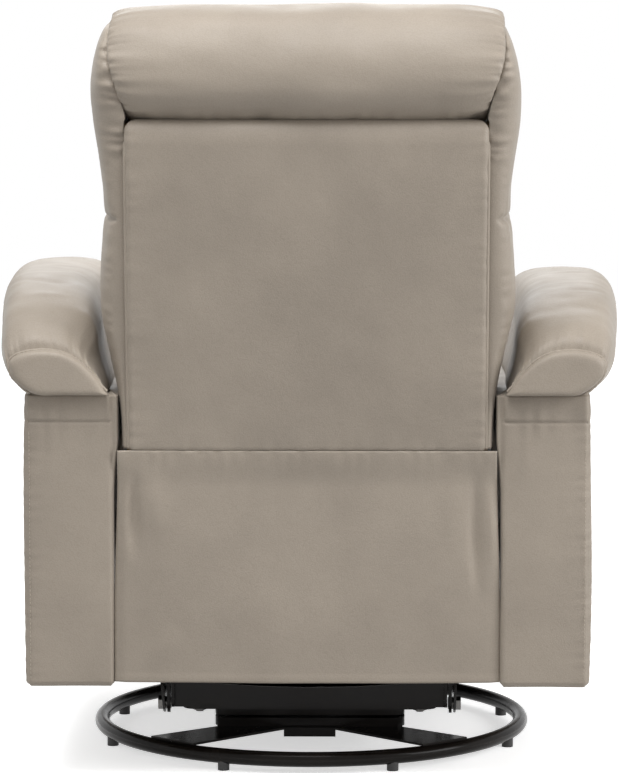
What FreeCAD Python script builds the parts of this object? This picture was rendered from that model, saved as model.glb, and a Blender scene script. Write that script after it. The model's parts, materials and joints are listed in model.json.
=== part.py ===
# Swivel glider recliner: a ring base, a ball-bearing swivel, four glide links, and a chassis that
# carries the arms, a reclining back, a seat on lift links and a folding footrest.
# Millimetres, +Z up, origin on the floor under the swivel axis. The chair faces -Y.
# "left" is the sitter's left, which is +X.
import math
import os
import FreeCAD
import Part
import Sketcher
from FreeCAD import Vector, Rotation, Placement

SIZES = [
    # Ring base
    ("ring_radius", 282.5, "centre line of the floor ring"),
    ("ring_tube", 9.75, "radius of the ring's tube"),
    ("ring_height", 18, "height of the ring's centre line"),
    ("glide_radius", 7.5, "radius of a floor glide"),
    ("arm_plate", 3, "thickness of the pressed cross arms"),
    ("arm_seat", 0.5, "depth that the ring's tube sinks into the cross arms"),
    ("arm_rim", 9, "height of the hub plate's turned-down rim"),
    ("hub_half_width", 122, "half of the hub plate across the chair"),
    ("hub_half_depth", 138, "half of the hub plate along the chair"),
    ("arm_root", 34, "where an arm's near edge leaves the hub plate"),
    ("arm_end_near", 147, "an arm's near edge at the ring, across the chair"),
    ("arm_end_far", 205, "an arm's far edge at the ring, across the chair"),
    # Swivel bearing
    ("pan_half_width", 125, "half of a swivel pan across the chair"),
    ("pan_half_depth", 130, "half of a swivel pan along the chair"),
    ("pan_height", 11.5, "height of one swivel pan"),
    ("pan_floor", 3.5, "thickness of a pan's floor"),
    ("pan_gap", 3.75, "gap between the two pans"),
    ("pan_recess", 88, "radius of the recess inside a pan"),
    ("pan_corner", 16, "corner radius of a pan"),
    ("race_radius", 104, "radius of the ball race"),
    ("ball_radius", 3.5, "radius of a bearing ball"),
    ("race_clearance", 0.08, "clearance of a ball in its race"),
    ("cage_half_width", 9, "half of the cage ring's width"),
    ("cage_thickness", 1.5, "thickness of the ball cage"),
    ("cage_clearance", 0.3, "clearance of a ball in its cage"),
    ("kingpin_radius", 8, "radius of the swivel pivot"),
    ("kingpin_head", 14, "radius of the swivel pivot's head and nut"),
    ("kingpin_head_height", 5, "height of the swivel pivot's head and nut"),
    ("running", 0.06, "radial clearance of a pin in a moving hole"),
    # Swivel frame
    ("frame_half_width", 166, "half of the frame plate across the chair"),
    ("frame_half_depth", 150, "half of the frame plate along the chair"),
    ("frame_plate", 4, "thickness of the frame plate"),
    ("frame_hole", 40, "radius of the frame plate's centre hole"),
    ("channel_height", 36, "height of a glider channel"),
    ("channel_width", 60, "width of a glider channel"),
    ("channel_wall", 3, "wall of a glider channel"),
    ("channel_outer", 155, "outer face of a glider channel"),
    ("channel_dip", 10, "dip of a channel's upper edge at its middle"),
    ("bolt_radius", 5, "radius of the frame bolts"),
    ("bolt_across", 145, "frame bolts across the chair"),
    ("bolt_stub", 7, "length of a bolt under the frame plate"),
    ("bracket_inner", 176, "inner face of a glider bracket"),
    ("bracket_plate", 4, "thickness of a glider bracket"),
    ("bracket_bottom", 62, "underside of a glider bracket"),
    ("bracket_half_length", 170, "half of a glider bracket's length"),
    ("bracket_waist", 118, "height of a glider bracket between its posts"),
    ("post_half_width", 16, "half of a bracket post's width"),
    ("bumper_radius", 8, "radius of a glide bumper"),
    ("bumper_drop", 60, "drop of a bumper under the upper pivots"),
    # Glide links
    ("glide_pivot", 150, "glide pivots from the middle, along the chair"),
    ("glide_top", 165, "height of the upper glide pivots"),
    ("glide_length", 99, "length of a glide link between pivots"),
    ("glide_reach", 28, "furthest angle of a glide link from upright, degrees"),
    ("link_gap", 2, "gap between a link and the plate beside it"),
    ("glide_link_plate", 4, "thickness of a glide link"),
    ("glide_link_width", 26, "width of a glide link"),
    ("washer_gap", 0.3, "side play between a washer and its link"),
    ("pivot_radius", 5, "radius of the glide pivot bolts"),
    ("pivot_head", 9, "radius of a glide bolt's head"),
    ("pivot_head_height", 7, "height of a glide bolt's head"),
    # Chassis
    ("rail_plate", 3, "thickness of a glide rail"),
    ("rail_bottom", 54, "underside of a glide rail's hanger"),
    ("rail_shelf", 127, "underside of a glide rail's shelf"),
    ("rail_outer", 242, "outer face of a glide rail, on the arm"),
    ("rail_front", 205, "front end of a glide rail"),
    ("rail_rear", 288, "rear end of a glide rail"),
    ("rail_top", 228, "top of a glide rail's side plate"),
    ("hanger_half_length", 168, "half of a rail hanger's length"),
    ("tube_radius", 12, "radius of the chassis cross tubes"),
    ("tube_place", 190, "cross tubes from the middle, along the chair"),
    ("tube_height", 203, "height of the cross tubes"),
    ("stretcher_front", 310, "front face of the rear stretcher"),
    ("stretcher_depth", 20, "thickness of the rear stretcher"),
    ("stretcher_bottom", 138, "underside of the rear stretcher"),
    ("stretcher_height", 42, "height of the rear stretcher"),
    # Arms
    ("arm_bottom", 122, "underside of an arm"),
    ("arm_top", 489, "top of an arm's box"),
    ("arm_width", 107, "width of an arm's box"),
    ("arm_swell", 10, "swell of an arm's outer side"),
    ("arm_rear", 340, "rear face of an arm"),
    ("arm_front", 405, "front face of an arm"),
    ("arm_corner", 20, "corner radius of an arm's box"),
    ("arm_wall", 8, "wall of an arm's cover"),
    ("board", 18, "thickness of the frame boards"),
    ("pad_outer", 410, "widest place of an arm pad"),
    ("pad_inner", 273, "inner side of an arm pad"),
    ("pad_top", 636, "highest place of an arm pad"),
    ("pad_rear", 367, "rear face of an arm pad"),
    ("pad_front", 432, "front face of an arm pad"),
    # Seat
    ("seat_plate", 3, "thickness of a seat plate"),
    ("seat_plate_outer", 231.5, "outer face of a seat plate"),
    ("seat_plate_bottom", 222, "underside of a seat plate"),
    ("seat_plate_top", 392, "top of a seat plate and its rails"),
    ("seat_plate_rear", 150, "rear end of a seat plate"),
    ("seat_plate_front", 346, "front end of a seat plate"),
    ("lift_length", 60, "length of a seat lift link"),
    ("lift_rest", 35, "rearward lean of a lift link at rest, degrees"),
    ("lift_height", 185, "height of the lift links' chassis pivots"),
    ("lift_place", 100, "chassis pivots of the lift links from the middle"),
    ("lift_width", 24, "width of a lift link"),
    ("lift_plate", 4, "thickness of a lift link"),
    ("rail_height", 34, "height of the wooden seat rails"),
    ("rail_depth", 22, "thickness of the wooden seat rails"),
    ("web_width", 50, "width of a webbing band"),
    ("web_thickness", 1.5, "thickness of a webbing band"),
    ("seat_half_width", 234, "half width of the seat cushion"),
    ("seat_rear", 148, "rear of the seat cushion"),
    ("seat_front", 430, "front of the seat cushion"),
    ("seat_top", 478, "seat cushion's top at its sides"),
    ("seat_crown", 9, "rise of the seat cushion's crown"),
    # Back, in its own leaning frame: v rearwards, w up along the back
    ("back_foot", 345, "rear face of the back at its lower edge"),
    ("back_base", 420, "height of the back's lower edge"),
    ("back_lean", 7, "lean of the back at rest, degrees"),
    ("recline_place", 270, "recline pivot, along the chair"),
    ("recline_height", 300, "height of the recline pivot"),
    ("recline_pin", 6, "radius of the recline pin"),
    ("back_bracket_plate", 4, "thickness of a back bracket"),
    ("stile_outer", 225, "outer face of a back stile"),
    ("stile_width", 35, "width of a back stile"),
    ("stile_depth", 40, "depth of a back stile"),
    ("stile_bottom", 100, "a stile's end below the back's lower edge"),
    ("insert_depth", 18, "thickness of the rear panel"),
    ("insert_height", 413, "height of the rear panel"),
    ("wing_half_width", 267, "widest place of the back"),
    ("roll_top", 553, "top of the back's roll, along the back"),
    ("roll_swell", 14, "rearward swell of the roll"),
    ("cushion_front", 195, "front of the back cushions, ahead of the rear face"),
    ("soft_gap", 0.3, "gap between soft pieces"),
    ("flap_thickness", 4, "thickness of the rear flap"),
    ("flap_half_width", 237, "half width of the rear flap"),
    ("flap_bottom", 126, "lower edge of the rear flap"),
    # Footrest linkage, pivots of the closed linkage
    ("front_pivot_place", 322, "front link pivot, ahead of the middle"),
    ("front_pivot_height", 284, "height of the front link pivot"),
    ("rear_pivot_place", 277, "rear link pivot, ahead of the middle"),
    ("rear_pivot_height", 337, "height of the rear link pivot"),
    ("front_link", 192, "length of the front link"),
    ("front_link_angle", 108.5, "closed slope of the front link under level, degrees"),
    ("rear_link", 221, "length of the rear link"),
    ("rear_link_angle", 103.7, "closed slope of the rear link under level, degrees"),
    ("long_link", 228, "length of the lower and upper links"),
    ("long_link_angle", 59, "closed slope of the lower link, degrees"),
    ("link_arm", 40, "arm of the lower link that takes the rear link"),
    ("link_arm_angle", 91.4, "angle between the lower link and its arm, degrees"),
    ("spread", 48, "distance between the lower and upper links' pins"),
    ("ottoman_plate", 3, "thickness of a footrest link"),
    ("ottoman_gap", 1, "gap between two footrest links"),
    ("ottoman_width", 18, "width of a footrest link"),
    ("ottoman_pin", 4.5, "radius of a footrest pin"),
    ("open_clearance", 2.1, "extra play of the rear link's lower pin"),
    ("torque_tube", 9, "radius of the tube that joins the rear links"),
    ("board_rear", 395, "rear face of the closed footrest board"),
    ("board_bottom", 160, "lower edge of the closed footrest board"),
    ("board_top", 384, "upper edge of the closed footrest board"),
    ("board_half_width", 222, "half width of the footrest board"),
    ("board_thickness", 16, "thickness of the footrest board"),
    ("footrest_depth", 38, "thickness of the footrest cushion"),
    ("footrest_half_width", 229, "half width of the footrest cushion"),
    # Release tab
    ("tab_thickness", 3, "thickness of the release tab"),
    ("tab_width", 34, "width of the release tab"),
    ("tab_height", 78, "height of the release tab"),
    ("tab_bottom", 442, "lower end of the release tab"),
    ("tab_place", 170, "release tab, ahead of the middle"),
]

GLIDE_COUNT = 8
GLIDE_FIRST_ANGLE = 22.5
BALL_COUNT = 8
SIDES = (("left", 1), ("right", -1))

doc = FreeCAD.newDocument("swivel_glider_recliner")
sheet = doc.addObject("Spreadsheet::Sheet", "Sizes")
for row, (alias, number, meaning) in enumerate(SIZES, 1):
    sheet.set("A%d" % row, meaning)
    sheet.set("B%d" % row, str(number))
    sheet.setAlias("B%d" % row, alias)
doc.recompute()


class Dim:
    """A length or angle that knows its number and its spreadsheet formula."""

    def __init__(self, number, formula):
        self.number = float(number)
        self.formula = formula

    def __add__(self, other):
        other = as_dim(other)
        return Dim(self.number + other.number, "(%s + %s)" % (self.formula, other.formula))

    def __sub__(self, other):
        other = as_dim(other)
        return Dim(self.number - other.number, "(%s - %s)" % (self.formula, other.formula))

    def __mul__(self, other):
        other = as_dim(other)
        return Dim(self.number * other.number, "(%s * %s)" % (self.formula, other.formula))

    def __truediv__(self, other):
        other = as_dim(other)
        return Dim(self.number / other.number, "(%s / %s)" % (self.formula, other.formula))

    def __neg__(self):
        return Dim(-self.number, "(0 - %s)" % self.formula)

    def __radd__(self, other):
        return as_dim(other) + self

    def __rsub__(self, other):
        return as_dim(other) - self

    def __rmul__(self, other):
        return as_dim(other) * self


def as_dim(value):
    return value if isinstance(value, Dim) else Dim(value, "(%s)" % repr(float(value)))


def cosine(angle):
    angle = as_dim(angle)
    return Dim(math.cos(math.radians(angle.number)), "cos(%s)" % angle.formula)


def sine(angle):
    angle = as_dim(angle)
    return Dim(math.sin(math.radians(angle.number)), "sin(%s)" % angle.formula)


class Sheet:
    """The driving dimensions by name."""

    def __getattr__(self, alias):
        return Dim(sheet.get(alias), "Sizes.%s" % alias)


s = Sheet()

# Helpers that draw and bind the pieces


def bind(obj, path, value):
    """Give a property its number, and tie it to the sheet."""
    value = as_dim(value)
    if "Sizes." in value.formula:
        obj.setExpression(path, value.formula)


def place(obj, base, axis=Vector(0, 0, 1), angle=0):
    """Put an object at a bound position, turned about an axis."""
    base = [as_dim(value) for value in base]
    angle = as_dim(angle)
    obj.Placement = Placement(Vector(*[value.number for value in base]), Rotation(axis, angle.number))
    for letter, value in zip("xyz", base):
        bind(obj, "Placement.Base.%s" % letter, value)


def box(name, corner, lengths):
    obj = doc.addObject("Part::Box", name)
    for prop, value in zip(("Length", "Width", "Height"), lengths):
        value = as_dim(value)
        setattr(obj, prop, value.number)
        bind(obj, prop, value)
    place(obj, corner)
    return obj


TURNS = {
    "x": (Vector(0, 1, 0), 90),
    "y": (Vector(1, 0, 0), -90),
    "z": (Vector(0, 0, 1), 0),
}


def cylinder(name, base, radius, length, along="z"):
    """A cylinder that starts at its base and runs along one axis."""
    obj = doc.addObject("Part::Cylinder", name)
    for prop, value in (("Radius", as_dim(radius)), ("Height", as_dim(length))):
        setattr(obj, prop, value.number)
        bind(obj, prop, value)
    axis, angle = TURNS[along]
    place(obj, base, axis, angle)
    return obj


def hexagon(name, base, radius, length, along="z"):
    """A hexagonal bolt head or nut."""
    obj = doc.addObject("Part::Prism", name)
    obj.Polygon = 6
    for prop, value in (("Circumradius", as_dim(radius)), ("Height", as_dim(length))):
        setattr(obj, prop, value.number)
        bind(obj, prop, value)
    axis, angle = TURNS[along]
    place(obj, base, axis, angle)
    return obj


def torus(name, height, major, minor):
    obj = doc.addObject("Part::Torus", name)
    for prop, value in (("Radius1", as_dim(major)), ("Radius2", as_dim(minor))):
        setattr(obj, prop, value.number)
        bind(obj, prop, value)
    place(obj, (0, 0, height))
    return obj


def annulus(name, bottom, middle, half_width, height):
    """A flat ring about the upright axis."""
    disc = cylinder(name + "_disc", (0, 0, bottom), middle + half_width, height)
    hole = cylinder(name + "_hole", (0, 0, bottom), middle - half_width, height)
    return cut(name, disc, hole)


def fuse(name, pieces):
    obj = doc.addObject("Part::MultiFuse", name)
    obj.Shapes = pieces
    return obj


def cut(name, base, tool):
    obj = doc.addObject("Part::Cut", name)
    obj.Base = base
    obj.Tool = tool
    return obj


def group(name, pieces):
    """Several separate solids under one name."""
    obj = doc.addObject("Part::Compound", name)
    obj.Links = pieces
    return obj


def origin_plane(body, role):
    return [item for item in body.Origin.OriginFeatures if item.Role == role][0]


def new_sketch(body, name, plane, turn=None):
    sketch = body.newObject("Sketcher::SketchObject", name)
    sketch.AttachmentSupport = [(origin_plane(body, plane), "")]
    sketch.MapMode = "FlatFace"
    if turn is not None:
        turn = as_dim(turn)
        sketch.AttachmentOffset = Placement(Vector(), Rotation(Vector(0, 0, 1), turn.number))
        bind(sketch, "AttachmentOffset.Rotation.Angle", turn)
    return sketch


def fix_point(sketch, geometry, end, x, y):
    """Hold one end of a line, or the centre of a circle, at bound coordinates."""
    for kind, value in (("DistanceX", as_dim(x)), ("DistanceY", as_dim(y))):
        index = sketch.addConstraint(Sketcher.Constraint(kind, -1, 1, geometry, end, value.number))
        bind(sketch, "Constraints[%d]" % index, value)


def draw_outline(sketch, corners):
    """A closed outline of straight lines whose corners are bound."""
    corners = [(as_dim(x), as_dim(y)) for x, y in corners]
    points = [Vector(x.number, y.number, 0) for x, y in corners]
    first = sketch.GeometryCount
    for start, stop in zip(points, points[1:] + points[:1]):
        sketch.addGeometry(Part.LineSegment(start, stop), False)
    for number in range(len(points)):
        following = (number + 1) % len(points)
        sketch.addConstraint(Sketcher.Constraint("Coincident", first + number, 2, first + following, 1))
    for number, (x, y) in enumerate(corners):
        fix_point(sketch, first + number, 1, x, y)


def draw_circle(sketch, x, y, radius):
    x, y, radius = as_dim(x), as_dim(y), as_dim(radius)
    circle = Part.Circle(Vector(x.number, y.number, 0), Vector(0, 0, 1), radius.number)
    number = sketch.addGeometry(circle, False)
    fix_point(sketch, number, 3, x, y)
    index = sketch.addConstraint(Sketcher.Constraint("Radius", number, radius.number))
    bind(sketch, "Constraints[%d]" % index, radius)


def draw_slot(sketch, length, radius):
    """A round-ended bar from the origin along the sketch's first axis."""
    length, radius = as_dim(length), as_dim(radius)
    far, half = length.number, radius.number
    normal = Vector(0, 0, 1)
    near_arc = Part.ArcOfCircle(Part.Circle(Vector(0, 0, 0), normal, half), math.pi / 2, 3 * math.pi / 2)
    far_arc = Part.ArcOfCircle(Part.Circle(Vector(far, 0, 0), normal, half), -math.pi / 2, math.pi / 2)
    sketch.addGeometry(near_arc, False)
    sketch.addGeometry(far_arc, False)
    sketch.addGeometry(Part.LineSegment(Vector(0, -half, 0), Vector(far, -half, 0)), False)
    sketch.addGeometry(Part.LineSegment(Vector(far, half, 0), Vector(0, half, 0)), False)
    for rule in ((0, 2, 2, 1), (2, 2, 1, 1), (1, 2, 3, 1), (3, 2, 0, 1)):
        sketch.addConstraint(Sketcher.Constraint("Tangent", *rule))
    sketch.addConstraint(Sketcher.Constraint("Coincident", 0, 3, -1, 1))
    sketch.addConstraint(Sketcher.Constraint("PointOnObject", 1, 3, -1))
    index = sketch.addConstraint(Sketcher.Constraint("Radius", 0, half))
    bind(sketch, "Constraints[%d]" % index, radius)
    index = sketch.addConstraint(Sketcher.Constraint("DistanceX", 0, 3, 1, 3, far))
    bind(sketch, "Constraints[%d]" % index, length)


def pad(body, sketch, length, reverse=False):
    feature = body.newObject("PartDesign::Pad", sketch.Name + "_pad")
    feature.Profile = sketch
    length = as_dim(length)
    feature.Length = length.number
    feature.Reversed = reverse
    bind(feature, "Length", length)
    return feature


def pocket(body, sketch):
    """Cut a sketch through the whole piece, both ways."""
    feature = body.newObject("PartDesign::Pocket", sketch.Name + "_pocket")
    feature.Profile = sketch
    feature.Type = "ThroughAll"
    feature.SideType = "Symmetric"
    return feature


def round_corners(body, base, direction, radius):
    """Fillet the sharp corner edges that run along one direction."""
    doc.recompute()
    names = []
    for number, edge in enumerate(base.Shape.Edges, 1):
        if not isinstance(edge.Curve, Part.Line):
            continue
        if abs(edge.tangentAt(edge.FirstParameter).dot(direction)) > 0.999:
            names.append("Edge%d" % number)
    feature = body.newObject("PartDesign::Fillet", base.Name + "_round")
    feature.Base = (base, names)
    radius = as_dim(radius)
    feature.Radius = radius.number
    bind(feature, "Radius", radius)
    return feature


def side_plate(name, side, inner, thickness, corners, holes=(), windows=(), corner=6):
    """A flat plate that stands beside the chair's middle plane. Its outline is (along, up)."""
    body = doc.addObject("PartDesign::Body", name)
    outline = new_sketch(body, name + "_outline", "YZ_Plane")
    draw_outline(outline, corners)
    plate = pad(body, outline, thickness)
    round_corners(body, plate, Vector(1, 0, 0), corner)
    if holes:
        drilled = new_sketch(body, name + "_holes", "YZ_Plane")
        for along, up, radius in holes:
            draw_circle(drilled, along, up, radius)
        pocket(body, drilled)
    for number, window in enumerate(windows):
        opening = new_sketch(body, "%s_window%d" % (name, number), "YZ_Plane")
        draw_outline(opening, window)
        pocket(body, opening)
    place(body, (inner if side > 0 else -(inner + thickness), 0, 0))
    return body


def link(name, side, inner, thickness, width, pivot, slope, length, near_hole, far_hole,
         near_pin=None, far_pin=None, arm=None):
    """A round-ended link. Its first pivot is at (along, up) and it points at slope above +Y.

    A pin is (radius, inboard reach, outboard reach). An arm is (length, angle, hole, pin).
    """
    body = doc.addObject("PartDesign::Body", name)
    bar = new_sketch(body, name + "_bar", "YZ_Plane")
    draw_slot(bar, length, width / 2)
    pad(body, bar, thickness)
    holes = [(0, 0, near_hole), (length, 0, far_hole)]
    pins = [(0, 0, near_pin), (length, 0, far_pin)]
    if arm:
        arm_length, arm_angle, arm_hole, arm_pin = arm
        branch = new_sketch(body, name + "_arm", "YZ_Plane", arm_angle)
        draw_slot(branch, arm_length, width / 2)
        pad(body, branch, thickness)
        tip = (arm_length * cosine(arm_angle), arm_length * sine(arm_angle))
        holes.append((tip[0], tip[1], arm_hole))
        pins.append((tip[0], tip[1], arm_pin))
    drilled = [hole for hole in holes if hole[2] is not None]
    if drilled:
        bores = new_sketch(body, name + "_bores", "YZ_Plane")
        for along, up, radius in drilled:
            draw_circle(bores, along, up, radius)
        pocket(body, bores)
    for number, (along, up, pin) in enumerate(pins):
        if pin is None:
            continue
        radius, inboard, outboard = pin
        low, high = (inboard, outboard) if side > 0 else (outboard, inboard)
        for tag, reach, reverse in (("a", thickness + high, False), ("b", low, True)):
            if as_dim(reach).number > 0:
                stub = new_sketch(body, "%s_pin%d%s" % (name, number, tag), "YZ_Plane")
                draw_circle(stub, along, up, radius)
                pad(body, stub, reach, reverse)
    base = (inner if side > 0 else -(inner + thickness), pivot[0], pivot[1])
    place(body, base, Vector(1, 0, 0), slope)
    return body


# Helpers for the soft forms, which are lofts through outlines of arcs and lines


def rounded_wire(low, high, corner, swell, to_space):
    """A rounded rectangle whose four sides swell: swell is (left, right, bottom, top)."""
    (a0, b0), (a1, b1) = low, high
    left, right, bottom, top = swell
    r = corner
    k = r * (1 - math.sqrt(0.5))
    middle_a = (a0 + a1) / 2
    middle_b = (b0 + b1) / 2
    rounds = [
        ((a0 + r, b0), (middle_a, b0 - bottom), (a1 - r, b0)),
        ((a1 - r, b0), (a1 - k, b0 + k), (a1, b0 + r)),
        ((a1, b0 + r), (a1 + right, middle_b), (a1, b1 - r)),
        ((a1, b1 - r), (a1 - k, b1 - k), (a1 - r, b1)),
        ((a1 - r, b1), (middle_a, b1 + top), (a0 + r, b1)),
        ((a0 + r, b1), (a0 + k, b1 - k), (a0, b1 - r)),
        ((a0, b1 - r), (a0 - left, middle_b), (a0, b0 + r)),
        ((a0, b0 + r), (a0 + k, b0 + k), (a0 + r, b0)),
    ]
    edges = []
    for start, through, stop in rounds:
        ends = [to_space(*point) for point in (start, through, stop)]
        straight = abs((ends[1] - ends[0]).cross(ends[2] - ends[0]).Length) < 1e-6
        edges.append(Part.makeLine(ends[0], ends[2]) if straight else Part.Arc(*ends).toShape())
    return Part.Wire(edges)


def sole_and_arcs(points, to_space):
    """An outline with a straight sole. Of the other points, every second one lies within an arc."""
    spots = [to_space(*point) for point in points]
    edges = []
    for number in range(0, len(spots) - 2, 2):
        edges.append(Part.Arc(spots[number], spots[number + 1], spots[number + 2]).toShape())
    edges.append(Part.makeLine(spots[-1], spots[0]))
    return Part.Wire(edges)


def across(x):
    """Maps an outline's (along, up) into the plane at one place across the chair."""
    return lambda a, b: Vector(x, a, b)


def along(y):
    """Maps an outline's (across, up) into the plane at one place along the chair."""
    return lambda a, b: Vector(a, y, b)


def level(z):
    """Maps an outline's (across, along) into a level plane."""
    return lambda a, b: Vector(a, b, z)


SHARES = (-1, -0.975, -0.9, -0.7, 0, 0.7, 0.9, 0.975, 1)


def crowned(low, high, half_width, corner, swell, ends, crown=0):
    """A cushion lofted across the chair. Its ends draw in by (front, rear, bottom, top)."""
    wires = []
    for share in SHARES:
        inset = 1 - math.sqrt(1 - share ** 8)
        rise = crown * (1 - share ** 2)
        wires.append(rounded_wire((low[0] + ends[0] * inset, low[1] + ends[2] * inset),
                                  (high[0] - ends[1] * inset, high[1] - ends[3] * inset + rise),
                                  corner, swell, across(share * half_width)))
    return Part.makeLoft(wires, True, True)


def form(name, shape):
    """A finished soft form as an object of its own."""
    obj = doc.addObject("Part::Feature", name)
    obj.Shape = shape
    return obj


def mirrored(shape):
    return shape.mirror(Vector(0, 0, 0), Vector(1, 0, 0))


nodes = {}


def keep(node, obj):
    """Name a finished piece."""
    obj.Label = node
    nodes[node] = obj


# Ring base

ring = torus("ring", s.ring_height, s.ring_radius, s.ring_tube)
keep("base_ring", ring)

glides = []
for number in range(GLIDE_COUNT):
    turn = GLIDE_FIRST_ANGLE + 360 / GLIDE_COUNT * number
    spot = (s.ring_radius * cosine(turn), s.ring_radius * sine(turn), 0)
    glides.append(cylinder("glide%d" % number, spot, s.glide_radius, s.ring_height))
glide_ring = torus("glide_saddles", s.ring_height, s.ring_radius, s.ring_tube)
keep("floor_glides", cut("glides_cut", group("glides", glides), glide_ring))

arm_plate_bottom = s.ring_height + s.ring_tube - s.arm_seat
hub_top = arm_plate_bottom + s.arm_plate
hub = doc.addObject("PartDesign::Body", "hub_plate")
hub_sketch = new_sketch(hub, "hub_outline", "XY_Plane")
ring_near = s.ring_radius * cosine(31.4)
ring_far = s.ring_radius * cosine(46.5)
quarter = [
    (s.arm_root, s.hub_half_depth),
    (s.arm_end_near, ring_near),
    (s.arm_end_far, ring_far),
    (s.hub_half_width, s.hub_half_depth - s.arm_rim),
]
hub_corners = quarter
hub_corners = hub_corners + [(x, -y) for x, y in reversed(quarter)]
hub_corners = hub_corners + [(-x, -y) for x, y in quarter]
hub_corners = hub_corners + [(-x, y) for x, y in reversed(quarter)]
draw_outline(hub_sketch, hub_corners)
pad(hub, hub_sketch, s.arm_plate)
hub_bore = new_sketch(hub, "hub_bore", "XY_Plane")
draw_circle(hub_bore, 0, 0, s.kingpin_radius)
pocket(hub, hub_bore)
place(hub, (0, 0, arm_plate_bottom))
rims = []
for number, sign in enumerate((1, -1)):
    rim_place = s.hub_half_depth - s.arm_plate if sign > 0 else -s.hub_half_depth
    rims.append(box("rim_y%d" % number, (-s.arm_root, rim_place, arm_plate_bottom - s.arm_rim),
                    (s.arm_root * 2, s.arm_plate, s.arm_rim)))
    rim_place = s.hub_half_width - s.arm_plate if sign > 0 else -s.hub_half_width
    half = s.hub_half_depth - s.arm_rim * 2
    rims.append(box("rim_x%d" % number, (rim_place, -half, arm_plate_bottom - s.arm_rim),
                    (s.arm_plate, half * 2, s.arm_rim)))
arm_ring = torus("arm_saddles", s.ring_height, s.ring_radius, s.ring_tube)
keep("cross_arms", cut("arms_cut", fuse("arms", [hub] + rims), arm_ring))

# Swivel bearing: two square pans with a ball race between them

lower_pan_top = hub_top + s.pan_height
upper_pan_bottom = lower_pan_top + s.pan_gap
upper_pan_top = upper_pan_bottom + s.pan_height
race_height = lower_pan_top + s.pan_gap / 2


def pan(name, bottom, floor_bottom, bore):
    """A square pan whose recess leaves a floor, with a groove for the balls."""
    body = doc.addObject("PartDesign::Body", name + "_body")
    outline = new_sketch(body, name + "_outline", "XY_Plane")
    draw_outline(outline, [
        (-s.pan_half_width, -s.pan_half_depth), (s.pan_half_width, -s.pan_half_depth),
        (s.pan_half_width, s.pan_half_depth), (-s.pan_half_width, s.pan_half_depth)])
    plate = pad(body, outline, s.pan_height)
    round_corners(body, plate, Vector(0, 0, 1), s.pan_corner)
    centre = new_sketch(body, name + "_bore", "XY_Plane")
    draw_circle(centre, 0, 0, bore)
    pocket(body, centre)
    place(body, (0, 0, bottom))
    recess = cylinder(name + "_recess", (0, 0, floor_bottom), s.pan_recess, s.pan_height - s.pan_floor)
    race = s.ball_radius + s.race_clearance
    groove = annulus(name + "_groove", race_height - race, s.race_radius, race, race * 2)
    return cut(name + "_cut", body, group(name + "_tools", [recess, groove]))


keep("swivel_lower_plate", pan("lower_pan", hub_top, hub_top + s.pan_floor, s.kingpin_radius))
upper_bore = s.kingpin_radius + s.running
keep("swivel_upper_plate", pan("upper_pan", upper_pan_bottom, upper_pan_bottom, upper_bore))

balls = []
pockets = []
for number in range(BALL_COUNT):
    turn = 360 / BALL_COUNT * number
    spot = (s.race_radius * cosine(turn), s.race_radius * sine(turn))
    ball = doc.addObject("Part::Sphere", "ball%d" % number)
    ball.Radius = s.ball_radius.number
    bind(ball, "Radius", s.ball_radius)
    place(ball, (spot[0], spot[1], race_height))
    balls.append(ball)
    pockets.append(cylinder("ball_pocket%d" % number, (spot[0], spot[1], race_height - s.cage_thickness),
                            s.ball_radius + s.cage_clearance, s.cage_thickness * 2))
keep("bearing_balls", group("balls", balls))
cage_bottom = race_height - s.cage_thickness / 2
cage_ring = annulus("cage_ring", cage_bottom, s.race_radius, s.cage_half_width, s.cage_thickness)
keep("ball_cage", cut("cage", cage_ring, group("ball_pockets", pockets)))

frame_plate_top = upper_pan_top + s.frame_plate
kingpin_bottom = arm_plate_bottom - s.kingpin_head_height
kingpin = [
    cylinder("kingpin_shank", (0, 0, kingpin_bottom), s.kingpin_radius,
             upper_pan_top - kingpin_bottom + s.washer_gap),
    hexagon("kingpin_nut", (0, 0, kingpin_bottom), s.kingpin_head, s.kingpin_head_height),
    cylinder("kingpin_top", (0, 0, upper_pan_top + s.washer_gap), s.kingpin_head, s.kingpin_head_height),
]
keep("swivel_pivot", fuse("kingpin", kingpin))

# Swivel frame: plate, two glider channels, and the brackets that hold the upper pivots

frame_body = doc.addObject("PartDesign::Body", "frame_body")
frame_sketch = new_sketch(frame_body, "frame_outline", "XY_Plane")
draw_outline(frame_sketch, [
    (-s.frame_half_width, -s.frame_half_depth), (s.frame_half_width, -s.frame_half_depth),
    (s.frame_half_width, s.frame_half_depth), (-s.frame_half_width, s.frame_half_depth)])
frame_pad = pad(frame_body, frame_sketch, s.frame_plate)
round_corners(frame_body, frame_pad, Vector(0, 0, 1), s.pan_corner)
frame_bores = new_sketch(frame_body, "frame_bores", "XY_Plane")
draw_circle(frame_bores, 0, 0, s.frame_hole)
channel_middle = s.channel_outer - s.channel_width / 2
bolt_spots = [(s.bolt_across * i, channel_middle * j) for i in (1, -1) for j in (1, -1)]
for x, y in bolt_spots:
    draw_circle(frame_bores, x, y, s.bolt_radius)
pocket(frame_body, frame_bores)
place(frame_body, (0, 0, upper_pan_top))
keep("swivel_frame_plate", frame_body)

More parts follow.
